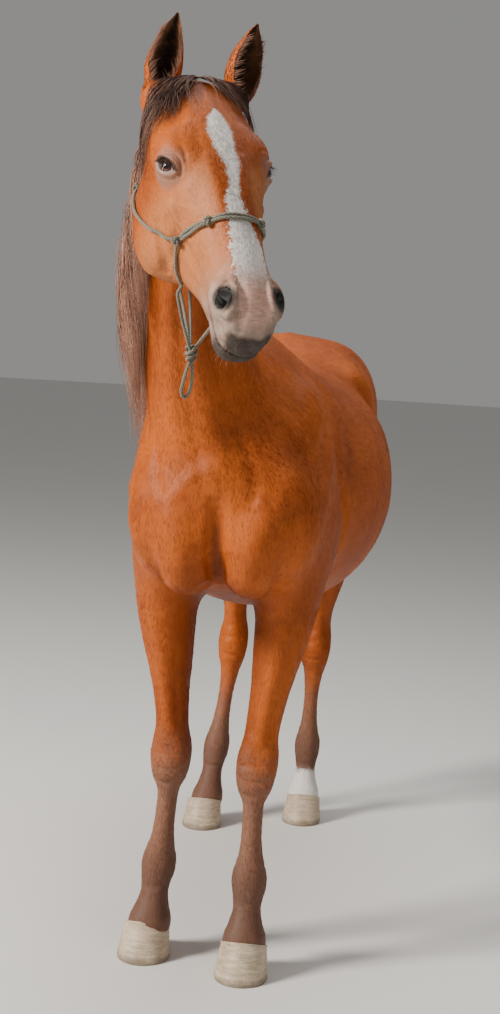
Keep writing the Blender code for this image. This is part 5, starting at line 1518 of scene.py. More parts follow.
def make_hooves(context):
    """Horn walls that flare from the coronet to the ground, with growth rings: at each height the outline is
    an oval, narrower behind, and its size swells by 0.5 mm with the rings. Heels and sole close it below."""
    rows, columns = HOOF_GRID
    turn = np.linspace(0, 2 * math.pi, columns, endpoint=False)[None]
    side, back = np.sin(turn), -np.cos(turn)
    narrow = 1 - 0.12 * np.clip(back, 0, 1) ** 2
    for name, line in LEG_LINES.items():
        size = 1.0 if name.startswith("front") else HIND_HOOF
        _, x, y = line[0]
        share = np.linspace(0, 1, rows)[:, None]
        top, ground = np.array(HOOF_TOP) * size, np.array(HOOF_GROUND) * size
        width, ahead, behind = (ground[k] + (top[k] - ground[k]) * share for k in range(3))
        slope_down = (HOOF_TOE - HOOF_HEEL) / (HOOF_TOP[1] + HOOF_TOP[2])
        rings = 0.0005 * np.sin(share * 46 + 1.2 * np.sin(turn * 2 + x * 30)) * ease(share / 0.1)
        rings = rings - 0.0022 * (1 - ease(share / 0.07)) + 0.0012 * ease((share - 0.90) / 0.1)
        heel = 0.006 * np.exp(-((back - 1) / 0.10) ** 2) * (1 - share)
        px = x + side * (width * narrow + rings)
        py = y + (behind - ahead) / 2 + back * ((behind + ahead) / 2 + rings) - heel
        pz = share * (HOOF_TOE - (py - (y - HOOF_TOP[1])) * slope_down)
        wall = np.stack([px, py, np.maximum(pz, 0)], axis=-1)
        middle = np.array((x, y - 0.02, 0))
        inner = wall[-1] * 0.80 + (np.append(middle[:2], wall[-1, :, 2].mean() + 0.002)) * 0.20
        sole = wall[:1] * (0.86, 0.86, 1) + middle * 0.14
        lip = 0.995 * wall[-1] + 0.005 * inner + (0, 0, 0.0012)
        points = np.concatenate([sole, wall, lip[None], inner[None]])
        faces, hoof = tube_faces(len(points), columns), name.replace("leg", "hoof")
        thing = mesh_object(f"{hoof}_horn", points.reshape(-1, 3), faces, hoof_finish(context, hoof))
        finish_piece(thing, "hoof", hoof)


# ---------------------------------------------------------------- halter, in the head's own frame
KNOTS = {"throat_right": (-0.103, -0.205, 0.105), "throat_left": (0.103, -0.205, 0.105),
         "cheek_right": (-0.073, -0.106, 0.333), "cheek_left": (0.076, -0.112, 0.340),
         "nose_right": (-0.049, -0.003, 0.374), "nose_left": (0.042, 0.012, 0.388)}
CHIN = (-0.010, -0.310, 0.450)    # the knot that hangs under the jaw
LOOP = [(-0.012, -0.318, 0.462), (-0.021, -0.352, 0.488), (-0.020, -0.378, 0.502), (-0.012, -0.386, 0.507),
        (-0.005, -0.376, 0.501), (-0.003, -0.350, 0.486), (-0.008, -0.318, 0.462)]
STRAND_APART = 0.0040             # half the distance between the two strands over the nose
ROPE_LIES = 0.0050                # height of a rope's middle over the skin where it lies on it
KNOT_LIES = 0.0075                # and of a knot's


BRAID_PITCH = 0.0085              # length of rope in which a strand of the braid goes round it
BRAID_STRANDS = 4                 # going round each way
ROPE_SIDES = 12


def rope_line(points, hug=0.012, step=0.003):
    """A smooth line through the points. Where it passes closer than that over the flesh it lies on it. Its
    ends stay put."""
    points = np.asarray(points, float)
    walked = walk(points)
    line = through(walked, points, np.linspace(0, walked[-1], max(8, int(walked[-1] / step))))
    for _ in range(6):
        inner = line[1:-1]
        close = body(inner) < ROPE_LIES + hug
        inner[close] = settle(inner[close], ROPE_LIES, 1)
        line[1:-1] = (line[:-2] + 2 * inner + line[2:]) / 4
    low = body(line) < ROPE_LIES
    low[[0, -1]] = False
    line[low] = settle(line[low], ROPE_LIES)
    return line


def rope_tube(line, radius, step=0.0016):
    """A round rope along a line, with the ridges of its braid: the radius swells by 7% where two sets of
    strands cross, one going round with the line and one against it. Its ends are closed with domes."""
    walked = walk(line)
    at = np.linspace(0, walked[-1], max(6, int(walked[-1] / step)))
    line = np.stack([np.interp(at, walked, line[:, k]) for k in range(3)], axis=1)
    for _ in range(2):
        line[1:-1] = (line[:-2] + 2 * line[1:-1] + line[2:]) / 4
    heading = unit(np.gradient(line, axis=0))
    first = carry(heading)
    second = np.cross(heading, first)
    turn = np.linspace(0, 2 * math.pi, ROPE_SIDES, endpoint=False)[None]
    pitch = 2 * math.pi * at[:, None] / BRAID_PITCH
    ridge = 1 + 0.07 * np.maximum(np.sin(BRAID_STRANDS * turn + pitch), np.sin(BRAID_STRANDS * turn - pitch))
    end = np.minimum(at, at[-1] - at)[:, None]
    dome = np.sqrt(np.clip(1 - (1 - np.clip(end / radius, 0, 1)) ** 2, 0.04, 1))
    r = (radius * ridge * dome)[..., None]
    away = np.cos(turn)[..., None] * first[:, None] + np.sin(turn)[..., None] * second[:, None]
    points = line[:, None] + r * away
    uv = np.stack(np.broadcast_arrays(turn / (2 * math.pi), at[:, None]), axis=-1)
    return points.reshape(-1, 3), tube_faces(len(points), ROPE_SIDES), uv.reshape(-1, 2)


def carry(heading):
    """A direction square to each heading, turned as little as possible from one to the next."""
    first = np.zeros_like(heading)
    guide = np.array((0.2, 0.3, 0.93))
    for k, way in enumerate(heading):
        guide = guide - guide @ way * way
        guide /= np.linalg.norm(guide)
        first[k] = guide
    return first


def knot_line(centre, radius, axes):
    """A rope's way round a knot: a line on a ring that goes round it twice while it goes through it three
    times."""
    t = np.linspace(0, 2 * math.pi, 90)
    far = radius * (0.62 + 0.34 * np.cos(3 * t))
    local = np.stack([far * np.cos(2 * t), far * np.sin(2 * t), 0.62 * radius * np.sin(3 * t)], axis=1)
    return centre + local @ np.asarray(axes)


def make_halter(context):
    """A knotted rope halter: ropes from knot to knot over the poll, the cheeks, under the jaw and doubled
    over the nose, and the loop that hangs from the lowest knot."""
    rope = context.scene.horse_shape.rope / 2
    knots = {name: settle(on_head([point]), KNOT_LIES, 3)[0] for name, point in KNOTS.items()}
    knots["chin"] = on_head([CHIN])[0]
    parts = []

    def lay(points, *hug):
        parts.append(rope_tube(rope_line(points, *hug), rope))

    def tie(first, last, between, *hug):
        lay([knots[first], *on_head(between), knots[last]], *hug)

    for side, word in ((-1, "right"), (1, "left")):
        throat, cheek = f"throat_{word}", f"cheek_{word}"
        tie(throat, cheek, [(side * 0.105, -0.168, 0.220)])
        tie(throat, "chin", [(side * 0.060 + 0.012, -0.290, 0.135), (side * 0.016 + 0.018, -0.318, 0.200),
                             (side * 0.009 + 0.012, -0.318, 0.300)])
        tie(cheek, "chin", [(side * 0.070, -0.165, 0.360), (side * 0.045 - 0.005, -0.225, 0.405)])
    over = [(0.098, -0.150, 0.030), (0.080, -0.098, -0.040), (0.045, -0.062, -0.062)]
    crown = [(-x, y, z) for x, y, z in over] + [(0, -0.050, -0.066)] + over[::-1]
    tie("throat_right", "throat_left", crown, 0.05)
    over_nose = ("cheek_right", "nose_right", "nose_left", "cheek_left")
    for first, last in zip(over_nose, over_nose[1:]):
        start, end = knots[first], knots[last]
        out = slope((start + end)[None] / 2)[0]
        apart = unit(np.cross(out, end - start)) * STRAND_APART
        for offset in (apart, -apart):
            middle = settle([(start + end) / 2 + offset], ROPE_LIES, 4)[0]
            lay([start + offset * 0.5, middle, end + offset * 0.5])
    lay(on_head(LOOP), -0.1)
    for name, centre in knots.items():
        if name == "chin":
            down = HEAD.axes @ unit((0.0, -0.85, 0.5))
            side = unit(np.cross(down, HEAD.axes[:, 0]))
            axes = (np.cross(side, down), side, down)
            for drop, size in ((-0.006, 0.0125), (0.006, 0.0115)):
                parts.append(rope_tube(knot_line(centre + drop * down, size, axes), rope * 0.92))
        else:
            out = normals(centre[None])[0]
            along = unit(np.cross(out, HEAD.axes[:, 2]))
            axes = (along, np.cross(out, along), out)
            parts.append(rope_tube(knot_line(centre, 0.0088, axes), rope * 0.88))
    points, faces, uv = zip(*parts)
    before = np.cumsum([0] + [len(place) for place in points])
    faces = np.concatenate([np.where(face >= 0, face + total, -1) for face, total in zip(faces, before)])
    thing = mesh_object("halter", np.concatenate(points), faces, rope_finish(context))
    uv_map(thing, "Braid", np.concatenate(uv), faces)
    return finish_piece(thing, "rope", *(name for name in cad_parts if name.startswith("halter_")))


# ---------------------------------------------------------------- materials
def calculation(operation):
    """A method that adds a Math node of that kind, of a value and those that follow it."""
    return lambda value, *others: value.math(operation, value, *others)


class Value:
    """A number or vector in a material. Arithmetic on it adds Math nodes."""

    def __init__(self, shader, socket):
        self.shader, self.socket = shader, socket

    def math(self, operation, *values):
        return self.shader.node("ShaderNodeMath", {"operation": operation}, enumerate(values))

    def __rsub__(self, other):
        return self.math("SUBTRACT", other, self)

    __add__ = __radd__ = calculation("ADD")
    __sub__ = calculation("SUBTRACT")
    __mul__ = __rmul__ = calculation("MULTIPLY")
    __truediv__ = calculation("DIVIDE")
    __pow__ = calculation("POWER")
    abs = calculation("ABSOLUTE")
    sine = calculation("SINE")
    least = calculation("MINIMUM")
    most = calculation("MAXIMUM")

    def rise(self, start, end):
        """0 up to start and 1 from end on, smoothly between them. With end below start it falls instead."""
        ends = {"Value": self, "From Min": min(start, end), "From Max": max(start, end)}
        if start > end:
            ends.update({"To Min": 1.0, "To Max": 0.0})
        return self.shader.node("ShaderNodeMapRange", {"interpolation_type": "SMOOTHSTEP"}, ends)


class Shader:
    """A material's nodes, from one method, and the few that the finishes here use most."""

    def __init__(self, name):
        self.material = bpy.data.materials.new(name)
        self.material.use_nodes = True
        self.tree = self.material.node_tree
        self.tree.nodes.clear()

    def node(self, kind, settings=(), inputs=(), output=0):
        """One output of a new node of that type. Its settings come first, then its sockets' values."""
        made = self.tree.nodes.new(kind)
        for key, value in dict(settings).items():
            setattr(made, key, value)
        for key, value in dict(inputs).items():
            if isinstance(value, Value):
                self.tree.links.new(value.socket, made.inputs[key])
            else:
                made.inputs[key].default_value = value
        return Value(self, made.outputs[output]) if made.outputs else made

    def place(self):
        """Object coordinates in the horse's own frame."""
        here = self.node("ShaderNodeTexCoord", output=3)
        return self.vector("SUBTRACT", here, tuple(SHIFT))

    def vector(self, operation, *values, **named):
        output = 1 if operation in ("DOT_PRODUCT", "DISTANCE") else 0
        inputs = {**dict(enumerate(values)), **named}
        return self.node("ShaderNodeVectorMath", {"operation": operation}, inputs, output)

    def parts(self, vector):
        return [self.node("ShaderNodeSeparateXYZ", inputs={0: vector}, output=k) for k in range(3)]

    def join(self, x, y, z):
        return self.node("ShaderNodeCombineXYZ", inputs={0: x, 1: y, 2: z})

    def within(self, frame_, place, size=1.0):
        """The three coordinates of a place in a frame of its own."""
        away = self.vector("SUBTRACT", place, tuple(frame_.origin))
        return [self.vector("DOT_PRODUCT", away, tuple(frame_.axes[:, k] / size)) for k in range(3)]

    def noise(self, where, scale, detail=2.0, rough=0.5):
        """Noise about zero."""
        sockets = {"Vector": where, "Scale": scale, "Detail": detail, "Roughness": rough}
        return self.node("ShaderNodeTexNoise", inputs=sockets) - 0.5

    def mix(self, share, first, second):
        """Two colours, mixed by the share of the second."""
        first, second = (c if isinstance(c, Value) else (*c, 1.0) for c in (first, second))
        return self.node("ShaderNodeMix", {"data_type": "RGBA"}, {0: share, 6: first, 7: second}, 2)

    def ramp(self, value, stops, low, high):
        """A function of a value from low to high, in straight lines between its stops."""
        made = self.node("ShaderNodeValToRGB", inputs={0: (value - low) / (high - low)})
        elements = made.socket.node.color_ramp.elements
        while len(elements) < len(stops):
            elements.new(1.0)
        for element, (at, v) in zip(elements, stops):
            element.position, element.color = (at - low) / (high - low), (v, v, v, 1.0)
        return made

    def attribute(self, name):
        return self.node("ShaderNodeAttribute", {"attribute_name": name}, output=2)

    def bump(self, height, distance, strength):
        sockets = {"Height": height, "Distance": distance, "Strength": strength}
        return self.node("ShaderNodeBump", inputs=sockets)

    def surface(self, **values):
        """Ends the material with a Principled surface."""
        sockets = {key.replace("_", " "): value for key, value in values.items()}
        lit = self.node("ShaderNodeBsdfPrincipled", inputs=sockets)
        self.node("ShaderNodeOutputMaterial", inputs={"Surface": lit})
        return self.material


def once(make):
    """Makes each finish the first time that it is asked for, and hands out the same one after that."""
    made = {}

    def wrapped(context, *key):
        if key not in made:
            made[key] = make(context, *key)
        return made[key]
    return wrapped


BLAZE_SPAN = -0.02, 0.62          # places down the face between which its shape is given
# place down the face, the blaze's middle across it, and half its width
BLAZE = [(-0.02, 0.004, 0), (0.105, 0.004, 0), (0.12, 0.004, 0.01), (0.14, 0.001, 0.02), (0.175, 0, 0.027),
         (0.22, 0.001, 0.021), (0.263, 0.008, 0.015), (0.302, 0.003, 0.008), (0.343, -0.007, 0.014),
         (0.404, -0.002, 0.022), (0.447, 0.003, 0.033), (0.58, 0.003, 0.032), (0.607, -0.002, 0.022),
         (0.62, 0, 0.012)]


@once
def coat_finish(context):
    """The bay coat: orange brown, darker on the lower legs and the muzzle, with the white blaze and pastern,
    and fine streaks of hair along its lie. Painted shade darkens the breast's cleft, the underside between
    the forelegs, the ears' cups and the nostrils' openings; a painted highlight pales the cheeks, and a
    painted reflection the rims of the lower lids."""
    colours = context.scene.horse_colours
    shader = Shader("coat")
    place = shader.place()
    x, y, z = shader.parts(place)
    across, out, down = shader.within(HEAD, place, HEAD_SIZE)
    _, _, up_neck = shader.within(NECK_FRAME, place)
    head = shader.vector("DOT_PRODUCT", place, (0.0, -1.0, 0.0)).rise(0.93, 1.00) * down.rise(-0.20, -0.10)
    head = head * z.rise(1.25, 1.32)
    # streaks that run with the hair: noise drawn out along each way by the stretch
    down_neck = np.array((0, 0.1, -0.4)) - NECK_FRAME.axes[:, 2]
    ways = [((0, 0.85, -0.53), 12, 700), ((0, 0.1, -1.0), 10, 700), (down_neck, 11, 700),
            (HEAD.axes[:, 2], 9, 900)]
    streaks = []
    for way, stretch, scale in ways:
        way = tuple(unit(way))
        run = shader.vector("DOT_PRODUCT", place, way)
        shorter = shader.vector("SCALE", way, Scale=run * (1 / stretch - 1))
        streaks.append(shader.noise(shader.vector("ADD", place, shorter), scale, 3.0, 0.6))
    neck = up_neck.rise(0.05, 0.20) * y.rise(-0.45, -0.56)
    legs = z.rise(1.0, 0.85).most(y.rise(0.45, 0.80)).most(y.rise(-0.60, -0.75) * z.rise(1.35, 1.2))
    streak = streaks[0]
    for other, share in zip(streaks[1:], (legs, neck, head)):
        streak = streak * (1 - share) + other * share
    cloud = shader.noise(place, 5.0, 3.0, 0.6)
    grain = shader.noise(place, 60.0, 3.0, 0.6)
    speck = shader.noise(place, 190.0, 3.0, 0.7)
    base = shader.mix((cloud * 1.2 + grain * 0.4 + streak * 0.90 + 0.55).rise(0.0, 1.0), colours.coat_dark,
                      colours.coat_light)
    # painted shade: darker in the breast's cleft and between the forelegs; then the darker hair towards the feet
    cleft = x.abs().rise(0.020, 0.003) * y.rise(-0.66, -0.74) * z.rise(1.12, 1.03) * 0.65
    shade = cleft.most(z.rise(0.94, 0.86) * x.abs().rise(0.13, 0.05) * 0.7)
    # the painted shade is the coat's dark colour at half strength
    base = shader.mix(shade, base, colours.coat_dark * 0.5)
    edge = grain * 0.10 + cloud * 0.12
    fore = (z + edge).rise(0.57, 0.38) * y.rise(0.05, -0.05)
    hind = (z + edge).rise(0.52, 0.28) * y.rise(-0.05, 0.05)
    leg = shader.mix((streak * 1.3 + 0.5).rise(0.0, 1.0), colours.leg_dark, colours.leg_light)
    base = shader.mix(fore.most(hind) * 0.80, base, leg)
    base = shader.mix(z.rise(0.32, 0.17) * 0.55, base, colours.leg_dark)
    # the white pastern
    sock = x.rise(0.0, 0.02) * y.rise(0.5, 0.52) * (z + streak * 0.045 + grain * 0.03).rise(0.165, 0.145)
    white = shader.mix(streak.rise(-0.3, 0.3), (0.62, 0.57, 0.54), colours.white)
    base = shader.mix(sock, base, white)
    # the face: cheeks paled by a painted highlight, darker hair round the eyes, and the lids' bare rims
    side = across.abs()
    on_face = shader.join(side, out, down)
    # painted highlight: the cheeks paler, as where the light catches them
    base = shader.mix(head * down.rise(0.20, 0.30) * side.rise(0.025, 0.055) * 0.45, base, (0.62, 0.27, 0.11))
    eye = shader.vector("DISTANCE", on_face, EYE)
    base = shader.mix(head * (eye + grain * 0.012).rise(0.050, 0.030) * 0.70, base, colours.eyelid)
    from_eye = shader.vector("SUBTRACT", on_face, EYE)
    _, along, up = (shader.vector("DOT_PRODUCT", from_eye, tuple(v)) for v in eye_axes())
    rim = ((along / (LID_LENGTH * 1.08)) ** 2 + (up / ((LID_UP + LID_DOWN) * 0.54)) ** 2) ** 0.5
    # lower lid's rim pale pink-grey, lightened as a painted reflection on its wet edge; the upper rim dark skin
    under = up.rise(0.001, -0.003)
    rim = head * eye.rise(0.045, 0.035) * (rim + under * 0.13).rise(1.30, 1.15)
    base = shader.mix(rim * 0.85, base, shader.mix(under, (0.030, 0.018, 0.015), (0.30, 0.22, 0.195)))
    # the grey muzzle
    low_face = head * (down + cloud * 0.05 - out * 0.25).rise(0.43, 0.56)
    muzzle = shader.mix(shader.noise(place, 26.0, 3.0, 0.6).rise(-0.14, 0.16), colours.muzzle_dark,
                        colours.muzzle_light)
    base = shader.mix(low_face * 0.90, base, muzzle)
    # the blaze, ragged at its edges, which turns into pink skin
    ragged = grain * 0.012 + speck * (0.014 + down.rise(0.30, 0.36) * 0.030) + streak * 0.016 + cloud * 0.012
    middle = shader.ramp(down, [(at, v + 0.1) for at, v, _ in BLAZE], *BLAZE_SPAN) - 0.1
    half = shader.ramp(down, [(at, v * 10) for at, _, v in BLAZE], *BLAZE_SPAN) / 10
    blaze = head * out.rise(-0.045, -0.02) * ((across - middle).abs() - half + ragged).rise(0.004, -0.004)
    wrinkle = shader.noise(shader.join(across * 0.25, out, down), 230.0, 2.0, 0.5)
    pink = shader.mix(wrinkle.rise(-0.2, 0.2), colours.pink * 0.72, colours.pink)
    pinkish = shader.mix((down + speck * 0.06).rise(0.465, 0.545), white, pink)
    base = shader.mix(blaze * half.rise(0.0005, 0.003), base, pinkish)
    # dark skin at the nostrils, the lips and the chin, and painted shade deep in the nostrils' openings
    nostril = shader.vector("DISTANCE", on_face, NOSTRIL)
    lips = (out + 0.110).abs().rise(0.010, 0.004) * down.rise(0.49, 0.53)
    chin = (out + cloud * 0.02).rise(-0.094, -0.106) * down.rise(0.530, 0.570) * 0.88
    upper_lip = (out + grain * 0.014).rise(-0.046, -0.058) * (down + grain * 0.01).rise(0.588, 0.602) * 0.88
    skin_dark = (nostril.rise(0.030, 0.019) * 0.9).most(lips * 0.95).most(chin).most(upper_lip) * head
    base = shader.mix(skin_dark, base, shader.mix(speck.rise(-0.15, 0.15), colours.nostril * 0.35,
                                                  colours.nostril * 1.25))
    # painted shade: near black deep in the nostril's opening
    base = shader.mix(nostril.rise(0.0185, 0.0150), base, (0.004, 0.003, 0.003))
    # inside the ears: brown hair towards the cup's edges, and painted shade, near black, deep in the cup
    inside = shader.attribute("inside")
    deep = (inside + grain * 0.5).rise(0.62, 1.02)
    ear_skin_and_shade = shader.mix(deep, (0.16, 0.075, 0.030), (0.012, 0.007, 0.005))
    base = shader.mix(inside.rise(0.05, 0.18), base, ear_skin_and_shade)
    bare = skin_dark.most(low_face * 0.6)
    rough = 0.52 + streak * 0.26 + bare * 0.08 + inside * 0.3 - rim * 0.25
    height = streak * (1 - bare * 0.7) + grain * 0.25 + bare * (shader.noise(place, 320.0, 3.0, 0.7) + 0.15)
    normal = shader.bump(height, 0.0009, 0.65)
    return shader.surface(Base_Color=base, Roughness=rough, Normal=normal, Specular_IOR_Level=0.22)


@once
def hair_finish(context):
    """Long hair: dark brown, redder and lighter in some strands and towards the tips."""
    colours = context.scene.horse_colours
    shader = Shader("hair")
    place = shader.place()
    shade, along = shader.attribute("shade"), shader.attribute("along")
    tone = (shade * 0.85 + along * 0.25 + shader.noise(place, 14.0) * 0.5).rise(0.10, 1.05)
    base = shader.mix(tone, colours.hair_dark, colours.hair_light)
    rough = 0.50 + shader.noise(place, 220.0) * 0.25
    return shader.surface(Base_Color=base, Roughness=rough, Specular_IOR_Level=0.22)


@once
def eye_finish(context, side):
    """A dark brown iris with a wide pupil that lies flat, a darker rim, and a little white at the corners."""
    colours = context.scene.horse_colours
    shader = Shader(f"eye_{'left' if side > 0 else 'right'}")
    gaze, along, up = (v * (side, 1, 1) for v in eye_axes())
    centre = on_head([np.array(EYE) * (side, 1, 1)])[0]
    ball = Frame(centre, HEAD.axes @ along, HEAD.axes @ up, HEAD.axes @ gaze)
    a, b, _ = shader.within(ball, shader.place(), EYE_RADIUS)
    away = (a * a + b * b) ** 0.5
    pupil = ((a / 0.46) ** 2 + (b / 0.24) ** 2) ** 0.5
    turn = b.math("ARCTAN2", b, a)
    fibres = shader.noise(shader.join(turn * 6.0, away * 4.0, 0.3), 3.0, 3.0, 0.7)
    # painted light: iris lighter below and darker above, as lit from above
    iris = shader.mix(fibres.rise(-0.25, 0.25) * b.rise(0.15, -0.30), colours.iris_dark, colours.iris_light)
    iris = shader.mix(away.rise(0.66, 0.86), iris, (0.008, 0.005, 0.004))
    base = shader.mix(pupil.rise(1.12, 0.95), iris, (0.0025, 0.003, 0.006))
    base = shader.mix(away.rise(0.93, 0.98), base, (0.11, 0.065, 0.05))
    return shader.surface(Base_Color=base, Roughness=0.06, Coat_Weight=1.0, Coat_Roughness=0.02, IOR=1.38)


@once
def hoof_finish(context, hoof):
    """Pale horn, in rings round the wall, with fine lines down it and dirt at the ground."""
    colours = context.scene.horse_colours
    shader = Shader(hoof)
    place = shader.place()
    x, y, z = shader.parts(place)
    lines = shader.noise(shader.join(x, y, z * 0.06), 420.0, 3.0, 0.6)
    rings = shader.noise(shader.join(x * 0.12, y * 0.12, z), 260.0, 2.0, 0.6)
    blotch = shader.noise(place, 22.0, 3.0, 0.6)
    tone = (lines * 0.7 + rings * 0.9 + blotch * 0.8 + 0.5).rise(0.1, 0.9)
    base = shader.mix(tone, colours.horn_dark, colours.horn_light)
    base = shader.mix((z + blotch * 0.02).rise(0.020, 0.004) * 0.6, base, (0.10, 0.075, 0.05))
    normal = shader.bump(rings + lines * 0.4, 0.0006, 0.5)
    rough = 0.50 + lines * 0.25
    return shader.surface(Base_Color=base, Roughness=rough, Normal=normal, Specular_IOR_Level=0.4)


@once
def rope_finish(context):
    """Braided cord: strands cross round the rope, with painted shade between them, in two shades of olive."""
    colours = context.scene.horse_colours
    shader = Shader("rope")
    turn, along, _ = shader.parts(shader.node("ShaderNodeUVMap", {"uv_map": "Braid"}))
    round_, run = turn * (BRAID_STRANDS * 2 * math.pi), along * (2 * math.pi / BRAID_PITCH)
    weave = (round_ + run).sine().most((round_ - run).sine())
    tone = (weave * 0.5 + 0.5).rise(0.35, 0.95)
    place = shader.place()
    fleck = shader.noise(place, 500.0, 2.0, 0.6)
    base = shader.mix(fleck.rise(-0.2, 0.2), colours.rope_dark, colours.rope_light)
    # painted shade in the creases between the braid's strands
    base = shader.mix((1 - tone) * 0.8, base, (0.035, 0.032, 0.024))
    base = shader.mix(shader.noise(place, 18.0).rise(-0.1, 0.3) * 0.3, base, (0.30, 0.27, 0.20))
    normal = shader.bump(weave * 0.5 + fleck * 0.3, 0.0010, 0.8)
    return shader.surface(Base_Color=base, Roughness=0.75, Normal=normal, Sheen_Weight=0.2)


@once
def floor_finish(context):
    """Plain pale floor, very slightly mottled."""
    shader = Shader("floor")
    pale = context.scene.horse_colours.floor
    base = shader.mix(shader.noise(shader.place(), 1.5, 3.0) + 0.5, pale, pale * 0.96)
    return shader.surface(Base_Color=base, Roughness=0.85)


# ---------------------------------------------------------------- floor, light and camera
CAMERA_PLACE = (0.5129, -4.5872, 1.475)
CAMERA_ANGLES = (-0.1172, -0.0988, 0.061)    # yaw, pitch and roll, in radians
CAMERA_LENS = 62.15               # in millimetres, on a sensor 36 mm wide


FLOOR_RADIUS, FLOOR_SIDES = 40, 96
LIT = (0.0, -0.6, 1.2)            # what the lights point at
# place, size, power and colour
LIGHTS = {
    "key": ((-4.7, -3.5, 4.3), 1.8, 760, (1.0, 0.95, 0.88)),
    "fill": ((3.6, -4.2, 2.4), 3.5, 34, (1.0, 0.98, 0.96)),
    "top": ((0.2, 0.8, 5.0), 3.0, 110, (1.0, 0.98, 0.95)),
}


def make_stage(context):
    """A pale round floor, a large soft key light from the upper left, a fill, a soft light from above, and
    the camera."""
    turn = np.linspace(0, 2 * math.pi, FLOOR_SIDES, endpoint=False)
    disc = np.stack([np.cos(turn), np.sin(turn), np.zeros(FLOOR_SIDES)], axis=1) * FLOOR_RADIUS
    disc = disc - SHIFT * (1, 1, 0)
    mesh_object("floor", disc, np.arange(FLOOR_SIDES)[None], floor_finish(context), smooth=False)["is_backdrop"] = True
    world = bpy.data.worlds.new("studio")
    world.use_nodes = True
    background = world.node_tree.nodes["Background"]
    background.inputs["Color"].default_value = (1.0, 0.985, 0.96, 1)
    background.inputs["Strength"].default_value = 0.28
    context.scene.world = world
    for name, (place, size, power, colour) in LIGHTS.items():
        light = bpy.data.lights.new(name, "AREA")
        light.shape, light.size, light.energy, light.color = "DISK", size, power, colour
        lamp = bpy.data.objects.new(name, light)
        lamp.location = Vector(place + SHIFT)
        lamp.rotation_euler = (Vector(LIT) - Vector(place)).to_track_quat("-Z", "Y").to_euler()
        context.scene.collection.objects.link(lamp)
    yaw, pitch, roll = CAMERA_ANGLES
    ahead = np.array((math.sin(yaw) * math.cos(pitch), math.cos(yaw) * math.cos(pitch), math.sin(pitch)))
    right = np.array((math.cos(yaw), -math.sin(yaw), 0))
    above = np.cross(right, ahead)
    leaned = right * math.cos(roll) + above * math.sin(roll), above * math.cos(roll) - right * math.sin(roll)
    lens = bpy.data.cameras.new("camera")
    lens.lens, lens.sensor_width, lens.clip_end = CAMERA_LENS, 36.0, 200
    camera = bpy.data.objects.new("camera", lens)
    columns = np.column_stack([*leaned, -ahead, np.array(CAMERA_PLACE) + SHIFT])
    camera.matrix_world = Matrix([*columns.tolist(), (0, 0, 0, 1)])
    context.scene.collection.objects.link(camera)
    context.scene.camera = camera


# ---------------------------------------------------------------- the add-on's settings, steps and panel
class HorseShape(bpy.types.PropertyGroup):
    """Sizes that a user would change."""
    rope: bpy.props.FloatProperty(name="Rope", description="Thickness of the halter's rope", default=0.0066,
                                  min=0.004, max=0.012, subtype="DISTANCE", unit="LENGTH")


def colour_property(name, description, default):
    return bpy.props.FloatVectorProperty(name=name, description=description, default=default, min=0, max=1,
                                         size=3, subtype="COLOR")


def strand_count(name, default, most):
    return bpy.props.IntProperty(name=name, description="Number of strands", default=default, max=most,
                                 min=20)


class HorseColours(bpy.types.PropertyGroup):
    """The colours of coat, skin, hair, eyes, horn, rope and floor."""
    coat_light: colour_property("Coat, light", "Lit hair of the bay coat", (0.50, 0.107, 0.009))
    coat_dark: colour_property("Coat, dark", "Deep hair of the bay coat", (0.20, 0.032, 0.003))
    leg_light: colour_property("Legs, light", "Lit hair of the lower legs", (0.31, 0.175, 0.115))
    leg_dark: colour_property("Legs, dark", "Deep hair of the lower legs", (0.075, 0.040, 0.030))
    white: colour_property("White", "Blaze and white pastern", (0.80, 0.76, 0.72))
    pink: colour_property("Pink", "Bare skin between the nostrils", (0.66, 0.39, 0.30))
    muzzle_light: colour_property("Muzzle, light", "Paler skin of the muzzle", (0.38, 0.30, 0.245))
    muzzle_dark: colour_property("Muzzle, dark", "Darker skin of the muzzle", (0.24, 0.175, 0.14))
    nostril: colour_property("Nostril", "Skin in the nostrils and along the lips", (0.030, 0.024, 0.022))
    eyelid: colour_property("Eyelid", "Skin round the eyes", (0.26, 0.165, 0.13))
    hair_light: colour_property("Hair, light", "Lit strands of mane and tail", (0.46, 0.23, 0.155))
    hair_dark: colour_property("Hair, dark", "Deep strands of mane and tail", (0.014, 0.007, 0.006))
    iris_light: colour_property("Iris, light", "Lighter fibres of the iris", (0.120, 0.030, 0.014))
    iris_dark: colour_property("Iris, dark", "Darker fibres of the iris", (0.022, 0.007, 0.005))
    horn_light: colour_property("Horn, light", "Pale horn of the hooves", (0.62, 0.50, 0.36))
    horn_dark: colour_property("Horn, dark", "Darker rings of the hooves", (0.33, 0.25, 0.17))
    rope_light: colour_property("Rope, light", "Lit strands of the halter", (0.26, 0.245, 0.18))
    rope_dark: colour_property("Rope, dark", "Deep strands of the halter", (0.13, 0.12, 0.085))
    floor: colour_property("Floor", "The studio floor", (0.72, 0.71, 0.69))


class HorseHair(bpy.types.PropertyGroup):
    """How much hair there is."""
    coat_length: bpy.props.FloatProperty(name="Coat length", description="Against the usual length",
                                         default=1.0, min=0.3, max=2.0, subtype="FACTOR")
    mane: strand_count("Mane", 2900, 2900)
    forelock: strand_count("Forelock", 620, 2000)
    tail: strand_count("Tail", 2600, 3400)


class HorseStep(bpy.types.Operator):
    """What all steps share."""
    bl_options = {"REGISTER", "UNDO"}

    def execute(self, context):
        type(self).make(context)
        return {"FINISHED"}


class HORSE_OT_skin(HorseStep):
    """Makes the one skin over the whole body, with its eyelids, nostrils, ears, muscles and veins"""
    bl_idname, bl_label = "horse.skin", "Skin"
    make = make_skin


